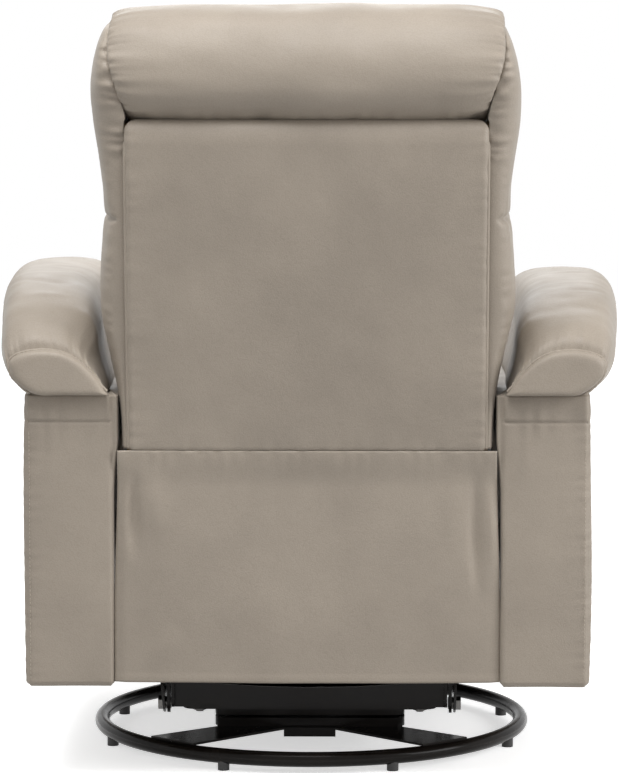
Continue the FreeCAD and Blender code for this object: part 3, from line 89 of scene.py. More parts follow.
def curve(points, count, closed=True):
    """Evenly spaced points on a smooth line through the given ones."""
    p = np.asarray(points, float)
    n = len(p)
    t = np.linspace(0, 1, 16, endpoint=False)[:, None]
    spans = []
    for i in range(n if closed else n - 1):
        a, b, c, d = [p[(i + k) % n] if closed else p[min(max(i + k, 0), n - 1)] for k in (-1, 0, 1, 2)]
        spans.append(0.5 * (2 * b + (c - a) * t + (2 * a - 5 * b + 4 * c - d) * t**2
                            + (3 * b - a - 3 * c + d) * t**3))
    q = np.concatenate(spans + [p[:1] if closed else p[-1:]])
    run = np.concatenate([[0], np.cumsum(np.linalg.norm(np.diff(q, axis=0), axis=1))])
    where = np.linspace(0, run[-1], count, endpoint=not closed)
    return np.stack([np.interp(where, run, q[:, k]) for k in range(p.shape[1])], 1)


def crowded(count, power):
    """Shares from -1 to 1 that lie closer together near both ends."""
    even = np.linspace(-1, 1, count)
    return np.sign(even) * (1 - (1 - np.abs(even)) ** power)


def noise(points, wavelength, seed):
    """Smooth unevenness in space, between about -1 and 1."""
    rng = np.random.default_rng(seed)
    total = 0
    for _ in range(8):
        direction = rng.normal(size=3)
        direction *= 2 * math.pi / (np.linalg.norm(direction) * wavelength * rng.uniform(0.7, 1.5))
        total = total + np.sin(points @ direction + rng.uniform(0, 2 * math.pi))
    return total / 4


def puckers(run, distance, height, reach, pitch, seed):
    """Small gathers along a seam: run is the way along it, distance the way off it."""
    rng = np.random.default_rng(seed)
    a, b, c = rng.uniform(0, 6, 3)
    wave = (np.sin(2 * math.pi * run / pitch + a + 1.6 * np.sin(2 * math.pi * run / (pitch * 3.7) + b))
            + 0.6 * np.sin(2 * math.pi * run / (pitch * 1.9) + c))
    distance = np.abs(distance)
    return height * wave * np.exp(-distance / reach) * ease(distance, -0.001, 0.25 * reach)


def fold(points, start, end, height, width):
    """A ridge or crease along a line, fading at both ends."""
    start, end = np.asarray(start, float), np.asarray(end, float)
    way = end - start
    length = np.linalg.norm(way)
    t = (points - start) @ way / length**2
    off = np.linalg.norm(points - start - np.clip(t, 0, 1)[..., None] * way, axis=-1)
    return height * np.exp(-((off / width) ** 2)) * np.clip(np.sin(math.pi * np.clip(t, 0, 1)), 0, 1) ** 1.5


def from_back(x, v, w):
    """Points of the back's own frame in the chair's frame."""
    x, v, w = np.broadcast_arrays(x, v, w)
    return np.stack([x, BACK_FOOT[0] + v * math.cos(LEAN) + w * math.sin(LEAN),
                     BACK_FOOT[1] - v * math.sin(LEAN) + w * math.cos(LEAN)], -1)


def upright(x, depth, height):
    """Points of pieces that stand square to the chair: depth is along Y, height along Z."""
    x, depth, height = np.broadcast_arrays(x, depth, height)
    return np.stack([x, depth, height], -1)


# Meshes


def piece(name, verts, faces, material, body=None, stands_for=(), smooth=True):
    """An object of the given points and faces. It rides on a body and stands for solids of the frame."""
    mesh = bpy.data.meshes.new(name)
    mesh.from_pydata(np.asarray(verts, float).tolist(), [], faces)
    mesh.validate()
    bm = bmesh.new()
    bm.from_mesh(mesh)
    bmesh.ops.recalc_face_normals(bm, faces=bm.faces)
    bm.to_mesh(mesh)
    bm.free()
    mesh.polygons.foreach_set("use_smooth", [smooth] * len(mesh.polygons))
    obj = bpy.data.objects.new(name, mesh)
    bpy.context.scene.collection.objects.link(obj)
    obj.data.materials.append(material)
    if body:
        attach(obj, body)
    if stands_for:
        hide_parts(*stands_for)
    return obj


def upholstery(name, verts, faces, body, stands_for, fill):
    """A padded leather piece."""
    made = piece(name, verts, faces, LEATHER, body, stands_for)


def grid_faces(rows, columns, wrap, first=0):
    """Four-sided faces of a grid of points, closed round its rows where it wraps."""
    faces = []
    for r in range(rows - 1):
        for c in range(columns if wrap else columns - 1):
            d = (c + 1) % columns
            faces.append((first + r * columns + c, first + r * columns + d,
                          first + (r + 1) * columns + d, first + (r + 1) * columns + c))
    return faces


def shell(rings):
    """A closed surface through rings of points, with a point at each end."""
    rows, columns = rings.shape[:2]
    verts = np.concatenate([rings.reshape(-1, 3), rings[0].mean(0)[None], rings[-1].mean(0)[None]])
    faces = grid_faces(rows, columns, True)
    south, north = rows * columns, rows * columns + 1
    for c in range(columns):
        d = (c + 1) % columns
        faces.append((south, d, c))
        faces.append((north, (rows - 1) * columns + c, (rows - 1) * columns + d))
    return verts, faces


def two_faced(face, back):
    """A closed surface between two grids of points of the same shape, joined along their rims."""
    rows, columns = face.shape[:2]
    count = rows * columns
    verts = np.concatenate([face.reshape(-1, 3), back.reshape(-1, 3)])
    faces = grid_faces(rows, columns, False) + grid_faces(rows, columns, False, count)
    rim = ([(0, c) for c in range(columns)] + [(r, columns - 1) for r in range(1, rows)]
           + [(rows - 1, c) for c in range(columns - 2, -1, -1)] + [(r, 0) for r in range(rows - 2, 0, -1)])
    ids = [r * columns + c for r, c in rim]
    for a, b in zip(ids, ids[1:] + ids[:1]):
        faces.append((a, b, count + b, count + a))
    return verts, faces


def cap(ring, outward, bulge, rows, fullness=2.4):
    """Rings that close an end: a panel inside its seam that domes outwards."""
    centre = ring.mean(0)
    made = []
    for k in range(1, rows + 1):
        r = 1 - (k / (rows + 0.6)) ** 1.25
        made.append(centre + (ring - centre) * r + np.asarray(outward) * bulge * (1 - r**fullness))
    return np.array(made)


def grid_normals(grid):
    """Outward normals of a grid of points whose rows are closed rings."""
    down = np.gradient(grid, axis=0)
    along = np.roll(grid, -1, 1) - np.roll(grid, 1, 1)
    n = np.cross(down, along)
    n /= np.linalg.norm(n, axis=-1, keepdims=True) + 1e-12
    if ((grid - grid.mean(1, keepdims=True)) * n).sum() < 0:
        n = -n
    return n


def frames_along(path):
    """Side and upward directions along a path, turning as little as they can."""
    way = np.gradient(path, axis=0)
    way /= np.linalg.norm(way, axis=1, keepdims=True) + 1e-12
    side = np.cross(way[0], [0.31, 0.57, 0.76])
    sides = []
    for direction in way:
        side = side - direction * (side @ direction)
        side /= np.linalg.norm(side) + 1e-12
        sides.append(side)
    sides = np.array(sides)
    return sides, np.cross(way, sides)


def piping(name, path, radius, body):
    """A round leather cord sewn along a path."""
    side, up = frames_along(path)
    turn = np.linspace(0, 2 * math.pi, 10, endpoint=False)
    rings = path[:, None] + radius * (np.cos(turn)[None, :, None] * side[:, None]
                                      + np.sin(turn)[None, :, None] * up[:, None])
    verts, faces = shell(rings)
    # Painted highlight: the cord's leather is a lighter copy of the upholstery's.
    piece(name, verts, faces, PAINTED_HIGHLIGHT_LEATHER, body)


STITCH_PITCH = 0.0052
STITCH_LENGTH = 0.0036


def stitches(name, path, normal, body, radius=0.00048):
    """A row of thread stitches along a path."""
    run = np.concatenate([[0], np.cumsum(np.linalg.norm(np.diff(path, axis=0), axis=1))])
    normal = np.broadcast_to(normal, path.shape)
    verts, faces = [], []
    for start in np.arange(STITCH_PITCH / 2, run[-1] - STITCH_LENGTH, STITCH_PITCH):
        spots = []
        for share, swell in ((0, 0.25), (0.22, 1), (0.78, 1), (1, 0.25)):
            at = start + share * STITCH_LENGTH
            spot = np.array([np.interp(at, run, path[:, k]) for k in range(3)])
            spots.append((spot, swell))
        n = np.array([np.interp(start, run, normal[:, k]) for k in range(3)])
        way = spots[-1][0] - spots[0][0]
        way /= np.linalg.norm(way) + 1e-12
        side = np.cross(way, n)
        base = len(verts)
        for spot, swell in spots:
            for c, s in ((1, 0), (0, 1), (-1, 0), (0, -1)):
                verts.append(spot + n * radius * 0.35 + radius * swell * (c * side + s * n))
        faces += grid_faces(4, 4, True, base)
        faces += [(base + 3, base + 2, base + 1, base), (base + 12, base + 13, base + 14, base + 15)]
    piece(name, verts, faces, THREAD, body)


# Materials


def material(name):
    """A new material, its node tree, its shader and the place on the object that textures read."""
    made = bpy.data.materials.new(name)
    made.use_nodes = True
    tree = made.node_tree
    tree.nodes.clear()
    out = tree.nodes.new("ShaderNodeOutputMaterial")
    shader = tree.nodes.new("ShaderNodeBsdfPrincipled")
    tree.links.new(shader.outputs[0], out.inputs[0])
    place = tree.nodes.new("ShaderNodeTexCoord")
    return made, tree, shader, place.outputs["Object"]


def texture(tree, kind, place, scale, **settings):
    """A texture node of a kind and scale that reads a place on the object."""
    node = tree.nodes.new(kind)
    tree.links.new(place, node.inputs["Vector"])
    node.inputs["Scale"].default_value = scale
    for key, value in settings.items():
        node.inputs[key].default_value = value
    return node


def ramp(tree, source, low, high, a, b):
    """Turns a grey value between low and high into a mix of two colours."""
    node = tree.nodes.new("ShaderNodeValToRGB")
    node.color_ramp.elements[0].position = low
    node.color_ramp.elements[1].position = high
    node.color_ramp.elements[0].color = (*a, 1)
    node.color_ramp.elements[1].color = (*b, 1)
    tree.links.new(source, node.inputs[0])
    return node.outputs[0]


def span(tree, source, low, high, new_low, new_high):
    """Stretches a grey value from one range to another."""
    node = tree.nodes.new("ShaderNodeMapRange")
    tree.links.new(source, node.inputs["Value"])
    for key, value in (("From Min", low), ("From Max", high), ("To Min", new_low), ("To Max", new_high)):
        node.inputs[key].default_value = value
    return node.outputs[0]


def add(tree, a, b, share):
    """a plus a share of b."""
    node = tree.nodes.new("ShaderNodeMath")
    node.operation = "MULTIPLY_ADD"
    tree.links.new(b, node.inputs[0])
    node.inputs[1].default_value = share
    tree.links.new(a, node.inputs[2])
    return node.outputs[0]


def mixed(tree, kind, factor, a, b):
    """Two colours mixed by a factor. Each is a colour or the output of a node."""
    node = tree.nodes.new("ShaderNodeMix")
    node.data_type = "RGBA"
    node.blend_type = kind
    for key, value in (("Factor", factor), ("A", a), ("B", b)):
        if isinstance(value, bpy.types.NodeSocket):
            tree.links.new(value, node.inputs[key])
        else:
            node.inputs[key].default_value = value
    return node.outputs["Result"]


def bump(tree, shader, height, distance, strength):
    """Raises and lowers the surface by a grey value."""
    node = tree.nodes.new("ShaderNodeBump")
    node.inputs["Distance"].default_value = distance
    node.inputs["Strength"].default_value = strength
    tree.links.new(height, node.inputs["Height"])
    tree.links.new(node.outputs[0], shader.inputs["Normal"])


def leather(name, colour, shade=1.0):
    """Faux leather: pebbled grain with painted shade in the valleys between the pebbles, slow colour drift
    and uneven gloss.
    """
    made, tree, shader, place = material(name)
    dark = tuple(c * 0.9 * shade for c in colour)
    light = tuple(c * 1.07 * shade for c in colour)
    drift = texture(tree, "ShaderNodeTexNoise", place, 7.0, Detail=4.0, Roughness=0.55)
    base = ramp(tree, drift.outputs[0], 0.32, 0.68, dark, light)
    pebble = texture(tree, "ShaderNodeTexVoronoi", place, 620.0)
    pebble.feature = "SMOOTH_F1"
    pebble.inputs["Smoothness"].default_value = 0.35
    wander = texture(tree, "ShaderNodeTexNoise", place, 210.0, Detail=3.0)
    # Painted shade: the colour darkens towards the edges of the grain's cells, where the bump sinks into
    # valleys.
    valley_shade = ramp(tree, pebble.outputs["Distance"], 0.05, 0.75, (1, 1, 1), (0.86, 0.85, 0.84))
    tree.links.new(mixed(tree, "MULTIPLY", 0.7, base, valley_shade), shader.inputs["Base Color"])
    gloss = texture(tree, "ShaderNodeTexNoise", place, 24.0, Detail=3.0)
    tree.links.new(span(tree, gloss.outputs[0], 0.3, 0.7, 0.46, 0.58), shader.inputs["Roughness"])
    height = add(tree, wander.outputs[0], pebble.outputs["Distance"], -0.8)
    slow = texture(tree, "ShaderNodeTexNoise", place, 42.0, Detail=2.0)
    height = add(tree, height, slow.outputs[0], 2.2)
    bump(tree, shader, height, 0.00022, 0.75)
    shader.inputs["Specular IOR Level"].default_value = 0.36
    shader.inputs["Sheen Weight"].default_value = 0.06
    return made


def painted(name, colour, rough):
    """Gloss paint with slight orange peel and rubbed, dustier patches."""
    made, tree, shader, place = material(name)
    dust = texture(tree, "ShaderNodeTexNoise", place, 18.0, Detail=5.0)
    tree.links.new(ramp(tree, dust.outputs[0], 0.35, 0.75, colour, tuple(c * 1.8 + 0.002 for c in colour)),
                   shader.inputs["Base Color"])
    peel = texture(tree, "ShaderNodeTexNoise", place, 420.0, Detail=1.0)
    tree.links.new(span(tree, dust.outputs[0], 0.3, 0.7, rough, rough + 0.14), shader.inputs["Roughness"])
    bump(tree, shader, peel.outputs[0], 0.00008, 0.5)
    shader.inputs["Specular IOR Level"].default_value = 0.11
    return made


def bare_metal(name, colour, rough):
    """Plated or bare steel with fine brushing and dulled patches."""
    made, tree, shader, place = material(name)
    stretch = tree.nodes.new("ShaderNodeMapping")
    stretch.inputs["Scale"].default_value = (1, 0.06, 1)
    tree.links.new(place, stretch.inputs[0])
    brush = texture(tree, "ShaderNodeTexNoise", stretch.outputs[0], 900.0, Detail=2.0)
    patch = texture(tree, "ShaderNodeTexNoise", place, 30.0, Detail=4.0)
    tree.links.new(ramp(tree, patch.outputs[0], 0.35, 0.7, tuple(c * 0.8 for c in colour), colour),
                   shader.inputs["Base Color"])
    tree.links.new(span(tree, patch.outputs[0], 0.3, 0.7, rough, rough + 0.16), shader.inputs["Roughness"])
    shader.inputs["Metallic"].default_value = 1.0
    bump(tree, shader, brush.outputs[0], 0.00003, 0.5)
    return made


def moulded(name, colour, rough, grain):
    """Rubber or moulded plastic with a fine mould texture."""
    made, tree, shader, place = material(name)
    fine = texture(tree, "ShaderNodeTexNoise", place, grain, Detail=2.0)
    tree.links.new(ramp(tree, fine.outputs[0], 0.3, 0.7, colour, tuple(c * 1.4 for c in colour)),
                   shader.inputs["Base Color"])
    shader.inputs["Roughness"].default_value = rough
    bump(tree, shader, fine.outputs[0], 0.00006, 0.7)
    return made


def wood(name):
    """Sawn timber with grain along its height."""
    made, tree, shader, place = material(name)
    stretch = tree.nodes.new("ShaderNodeMapping")
    stretch.inputs["Scale"].default_value = (1.0, 1.0, 0.12)
    tree.links.new(place, stretch.inputs[0])
    rings = texture(tree, "ShaderNodeTexNoise", stretch.outputs[0], 60.0, Detail=6.0, Distortion=1.5)
    fibre = texture(tree, "ShaderNodeTexNoise", stretch.outputs[0], 700.0, Detail=2.0)
    tree.links.new(ramp(tree, rings.outputs[0], 0.3, 0.7, (0.30, 0.19, 0.10), (0.52, 0.37, 0.22)),
                   shader.inputs["Base Color"])
    shader.inputs["Roughness"].default_value = 0.62
    bump(tree, shader, fibre.outputs[0], 0.0002, 0.6)
    return made


def woven(name, colour):
    """Webbing: warp and weft waves cross each other."""
    made, tree, shader, place = material(name)
    heights = []
    for axis in ("X", "Y"):
        wave = texture(tree, "ShaderNodeTexWave", place, 180.0, Distortion=0.6)
        wave.bands_direction = axis
        heights.append(wave.outputs["Fac"])
    height = add(tree, heights[0], heights[1], 1.0)
    # Painted shade: the colour falls to 60% in the low places between the threads.
    tree.links.new(ramp(tree, height, 0.3, 1.5, tuple(c * 0.6 for c in colour), colour),
                   shader.inputs["Base Color"])
    shader.inputs["Roughness"].default_value = 0.85
    bump(tree, shader, height, 0.0006, 0.8)
    return made


TAUPE = (0.325, 0.280, 0.230)
LEATHER = leather("taupe_leather", TAUPE)
# Painted highlight: piping and welts use the same leather 4% lighter, for the light that their rounded
# edges catch.
PAINTED_HIGHLIGHT_LEATHER = leather("taupe_piping_painted_highlight", TAUPE, 1.04)
THREAD = moulded("thread", (0.30, 0.26, 0.21), 0.7, 1500.0)
FINISH = {
    "black_metal": painted("black_paint", (0.0060, 0.0045, 0.0036), 0.15),
    "zinc": bare_metal("black_zinc_plate", (0.13, 0.125, 0.12), 0.3),
    "steel": bare_metal("bare_steel", (0.42, 0.41, 0.4), 0.34),
    "ball_steel": bare_metal("polished_balls", (0.75, 0.75, 0.76), 0.08),
    "black_plastic": moulded("black_plastic", (0.025, 0.024, 0.024), 0.5, 900.0),
    "bumper_rubber": moulded("bumper_rubber", (0.018, 0.018, 0.018), 0.8, 500.0),
    "leatherette": LEATHER,
    "wood": wood("frame_wood"),
    "webbing": woven("webbing", (0.11, 0.1, 0.09)),
}
for row in frame["record"]["subparts"]:
    mesh = nodes[row["node"]].data
    mesh.materials.clear()
    mesh.materials.append(FINISH[row["material_slot"]])

# Side panels of the back
# They run from the foot of the back up to its top corners. The tables give places at heights w.

WING_FOOT = 0.002
WING_TOP = 0.524
CROSS_SEAM = 0.291
PANEL_TOP = 0.4126
WING_OUT = [
    (0.002, 0.2318), (0.036, 0.2335), (0.075, 0.2385), (0.112, 0.2460), (0.135, 0.2520), (0.160, 0.2580),
    (0.195, 0.2600), (0.232, 0.2580), (0.257, 0.2552), (0.282, 0.2536), (0.307, 0.2534), (0.357, 0.2580),
    (0.407, 0.2645), (0.457, 0.2657), (0.490, 0.2605), (0.508, 0.2545), (0.518, 0.2490), (0.524, 0.2425),
]
WING_REAR = [
    (0.002, -0.005), (0.036, -0.008), (0.060, -0.010), (0.120, -0.011), (0.250, -0.010), (0.380, -0.010),
    (0.405, -0.008), (0.430, -0.003), (0.460, 0.001), (0.480, -0.003), (0.497, -0.013), (0.511, -0.028),
    (0.520, -0.050), (0.524, -0.078),
]
WING_FRONT = [
    (0.002, -0.100), (0.036, -0.150), (0.060, -0.165), (0.110, -0.181), (0.200, -0.192), (0.400, -0.192),
    (0.440, -0.190), (0.478, -0.178), (0.500, -0.160), (0.514, -0.138), (0.521, -0.112), (0.524, -0.082),
]


def seam_half(w):
    """Half width of the head pillow at a height: its end seams lean outwards as they rise."""
    return 0.2210 + 0.0205 * ease(w, 0.405, 0.505)


def make_wing(side_name, side):
    rows, columns = 190, 96
    rise = WING_FOOT + (WING_TOP - WING_FOOT) * np.linspace(0, 1, rows)
    turn = np.linspace(0, 2 * math.pi, columns, endpoint=False)
    rings = []
    for w in rise:
        inner = 0.2238 if w < PANEL_TOP else seam_half(w) + 0.0008
        narrowed = 0.005 * float(ease(w, 0.40, 0.50)) if side < 0 else 0
        outer = smooth_table(w, WING_OUT) - narrowed
        rear, front = smooth_table(w, WING_REAR), smooth_table(w, WING_FRONT)
        c, s = np.cos(turn), np.sin(turn)
        v = (rear + front) / 2 + (rear - front) / 2 * np.sign(c) * np.abs(c) ** 0.62
        x = inner + (outer - inner) * np.where(s > 0, np.abs(s) ** 0.6, 0) - 0.0008 * (s < 0)
        rings.append(np.stack([x, v, np.full(columns, w)], -1))
    local = np.array(rings)
    w = local[..., 2]
    outside = ease(local[..., 0], 0.229, 0.245)
    # The cross seam, with soft gathers above and below it
    off = w - CROSS_SEAM - 0.004 * np.sin(local[..., 1] * 30)
    dent = -0.0045 * hump(off, 0, 0.0035) - 0.0025 * hump(off, 0, 0.012)
    dent += puckers(local[..., 1], off, 0.0011, 0.022, 0.021, 11 + side)
    # Slack folds where the panel squeezes in between back and arm
    dent += 0.0016 * noise(local * [1, 1, 0.35], 0.055, 21 + side) * ease(w, 0.25, 0.08)
    dent += 0.0009 * noise(local, 0.09, 31 + side)
    # Gathers along the rear seam
    edge = np.abs(local[..., 1] - smooth_table(w, WING_REAR))
    dent += puckers(w, edge, 0.0007, 0.014, 0.017, 41 + side)
    local[..., 0] += dent * outside
    # Gathers beside the end seam of the head pillow
    beside = ease(w, 0.345, 0.385) * ease(w, 0.53, 0.50) * ease(local[..., 1], -0.05, -0.015)
    inner_edge = local[..., 0] - local[..., 0].min(1, keepdims=True)
    gathers = puckers(w, inner_edge, 0.0030, 0.012, 0.0145, 61 + side) - 0.002 * hump(inner_edge, 0, 0.004)
    local[..., 1] += gathers * beside
    world = from_back(local[..., 0] * side, local[..., 1], local[..., 2])
    upholstery("side_panel_" + side_name, *shell(world), "back", ["back_wing_" + side_name], 0.7)


for side_name, side in SIDES:
    make_wing(side_name, side)

# Head pillow: one cover wraps from the rear panel over the top and down to the middle cushion

PILLOW_CORE = np.array([-0.100, 0.470])
PILLOW = [
    (-0.0150, 0.4142), (-0.0045, 0.4222), (0.0060, 0.4340), (0.0118, 0.4480), (0.0125, 0.4620),
    (0.0098, 0.4780), (0.0035, 0.4950), (-0.0065, 0.5120), (-0.0210, 0.5275), (-0.0400, 0.5385),
    (-0.066, 0.5440), (-0.098, 0.5440), (-0.135, 0.537), (-0.166, 0.520), (-0.190, 0.495), (-0.203, 0.463),
    (-0.204, 0.430), (-0.195, 0.402), (-0.172, 0.389), (-0.120, 0.3865), (-0.070, 0.390), (-0.034, 0.402),
]


def make_head_pillow():
    rows, columns = 170, 200
    section = curve(PILLOW, columns)
    t = crowded(rows, 1.35)
    shrink = 1 - np.sqrt(np.clip(1 - np.abs(t) ** 10, 0, 1))
    crown = 0.004 * (1 - t**2)
    rings = []
    for share, draw, swell in zip(t, shrink, crown):
        size = 1 + swell * 3.5 - draw * np.array([0.08, 0.20])
        outline = PILLOW_CORE + (section - PILLOW_CORE) * size
        half = seam_half(outline[:, 1])
        rings.append(np.stack([share * half, outline[:, 0], outline[:, 1]], -1))
    local = np.array(rings)
    around = np.linspace(0, 1, columns, endpoint=False)[None, :] * 1.05
    off = (1 - np.abs(t))[:, None] * 0.24
    lift = puckers(around, off, 0.0013, 0.012, 0.019, 3) + puckers(around, off, 0.0011, 0.035, 0.047, 4)
    lift += 0.0013 * noise(local, 0.12, 5) + 0.0005 * noise(local, 0.045, 6)
    # Long soft dents that run down the rear face
    rear = ease(local[..., 1], -0.03, 0.0)
    lift += rear * (-0.0022 * hump(local[..., 0], 0.085, 0.05) - 0.0016 * hump(local[..., 0], -0.14, 0.035))
    # Small gathers where the lower rear edge tucks in behind the rear panel
    below = ease(local[..., 2], 0.432, 0.415) * ease(local[..., 1], -0.03, -0.012)
    lift += puckers(local[..., 0], local[..., 2] - 0.4145, 0.0008, 0.010, 0.027, 7) * below
    local = local + grid_normals(local) * lift[..., None]
    local = np.concatenate([cap(local[0], (-1, 0, 0), 0.004, 6)[::-1], local,
                            cap(local[-1], (1, 0, 0), 0.004, 6)])
    world = from_back(local[..., 0], local[..., 1], local[..., 2])
    upholstery("head_pillow", *shell(world), "back", ["head_cushion", "back_top_roll"], 0.8)


make_head_pillow()

# Rear panel with its piping

PANEL_HALF = 0.2230
PANEL_BACK = -0.0175


def round_corner(x, w, corner_x, corner_w, radius, inside):
    """Draws the points of a square corner in to a round one about its centre."""
    over, along = np.abs(x) - corner_x, w - corner_w
    away = np.hypot(over, along) + 1e-9
    pull = np.where(inside, np.clip(away - radius, 0, 1), 0)
    return x - np.sign(x) * pull * over / away, w - pull * along / away


def edge_drop(distance, width, depth):
    """How far a face rolls back near an edge: a quarter circle, as wide and deep as given."""
    share = np.clip(distance / width, 0, 1)
    return depth * (1 - np.sqrt(1 - (1 - share) ** 2))


def make_rear_panel():
    rows, columns = 150, 150
    x = crowded(columns, 1.6) * PANEL_HALF
    w = (0.5 - 0.5 * np.cos(math.pi * np.linspace(0, 1, rows))) * PANEL_TOP
    x, w = np.meshgrid(x, w)
    in_from_side, in_from_top = PANEL_HALF - np.abs(x), PANEL_TOP - w
    full = (1 - (x / PANEL_HALF) ** 4) * np.sin(math.pi * np.clip(w / 0.42, 0, 1)) ** 0.6
    v = (0.0035 * full - edge_drop(in_from_side, 0.008, 0.008) - edge_drop(in_from_top, 0.030, -PANEL_BACK)
         - edge_drop(w, 0.006, 0.003))
    flat = np.stack([x, w, np.zeros_like(x)], -1)
    v += 0.0007 * noise(flat, 0.16, 51) + 0.0002 * noise(flat, 0.05, 52)
    v += puckers(w, in_from_side, 0.0005, 0.012, 0.02, 53) + puckers(x, w, 0.0005, 0.010, 0.026, 54)
    for radius, corner_w, inside in (
            (0.015, PANEL_TOP - 0.015, w > PANEL_TOP - 0.015),
            (0.0065, 0.0065, w < 0.0065)):
        corner_x = PANEL_HALF - radius
        x, w = round_corner(x, w, corner_x, corner_w, radius, inside & (np.abs(x) > corner_x))
    verts, faces = two_faced(from_back(x, v, w), from_back(x, np.full_like(x, PANEL_BACK), w))
    upholstery("rear_panel", verts, faces, "back", ["back_insert"], 0.9)
    # Piping up each side and round the top corners
    half, top, radius = PANEL_HALF - 0.0010, 0.3960, 0.016
    line = [(half, 0.002)] + [(half, h) for h in np.linspace(0.02, 0.37, 40)]
    line += [(half - radius + radius * math.cos(a), top - radius + radius * math.sin(a))
             for a in np.linspace(0, math.pi / 2, 14)]
    for side_name, side in SIDES:
        path = np.array([(side * a, -0.0052 - 0.004 * ease(b, 0.36, top), b) for a, b in line])
        path = curve(from_back(path[:, 0], path[:, 1], path[:, 2]), 160, closed=False)
        piping("rear_panel_piping_" + side_name, path, 0.0024, "back")


make_rear_panel()

# Rear flap below the panel: one sheet that hangs from the back and is tacked along its foot

FLAP_TOP = 0.4204
FLAP_DROP = 0.2936
FLAP_DEPTH = 0.3372
FLAP_LIMITS = (0.3324, 0.3468)


def make_flap():
    rows, columns = 110, 150
    across, down = np.meshgrid(np.linspace(-1, 1, columns), np.linspace(0, 1, rows))
    x = across * (0.2362 + 0.0048 * ease(down, 0, 0.75))
    z = FLAP_TOP - down * FLAP_DROP + 0.0012 * across**2 * down
    spot = upright(x, 0.0, z)
    out = 0.0030 * np.sin(math.pi * down) * (1 - across**4)
    for start, end, height, width in (
            ((0.2165, 0, 0.400), (0.2150, 0, 0.280), -0.0072, 0.0070),
            ((0.1960, 0, 0.405), (0.1850, 0, 0.300), 0.0026, 0.014),
            ((-0.2090, 0, 0.405), (-0.2130, 0, 0.225), -0.0072, 0.0070),
            ((-0.2280, 0, 0.400), (-0.2370, 0, 0.230), 0.0040, 0.007),
            ((-0.1850, 0, 0.400), (-0.1780, 0, 0.290), 0.0022, 0.014),
            ((0.1600, 0, 0.200), (0.2000, 0, 0.140), 0.0014, 0.012)):
        out += fold(spot, start, end, height, width)
    out += 0.0012 * noise(spot * [1, 1, 0.5], 0.11, 61) * ease(down, 0, 0.15)
    out += puckers(x, down * 0.29, 0.0007, 0.012, 0.022, 62)
    out -= 0.0035 * ease(np.abs(across), 0.94, 1.0) * ease(down, 0.02, 0.2)
    # The top edge comes out level with the face of the rear panel, and the foot is hemmed
    y = np.clip(FLAP_DEPTH + out + 0.0062 * ease(down, 0.16, 0), *FLAP_LIMITS)
    thick = 0.0012 + 0.0006 * ease(down, 0.965, 0.975)
    verts, faces = two_faced(upright(x, y + thick, z), upright(x, y - thick, z))
    made = piece("rear_flap_cover", verts, faces, LEATHER, None, ["rear_flap"])
    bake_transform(made)


make_flap()

# Arm covers: boxed panels with sewn corners

ARM_FOOT = 0.1222
ARM_TOP = 0.4888
ARM_BAND = 0.4560
ARM_INNER, ARM_OUTER = 0.2412, 0.3510
ARM_REAR, ARM_FRONT = 0.3400, -0.4050


def side_run(start, end, count, swell, power=0.8):
    """Points from one corner towards the next, bowed outwards by swell."""
    t = np.linspace(0, 1, count, endpoint=False)
    start, end = np.array(start, float), np.array(end, float)
    way = end - start
    out = np.array([way[1], -way[0]]) / np.linalg.norm(way)
    return start + t[:, None] * way + (np.sin(math.pi * t) ** power * swell)[:, None] * out


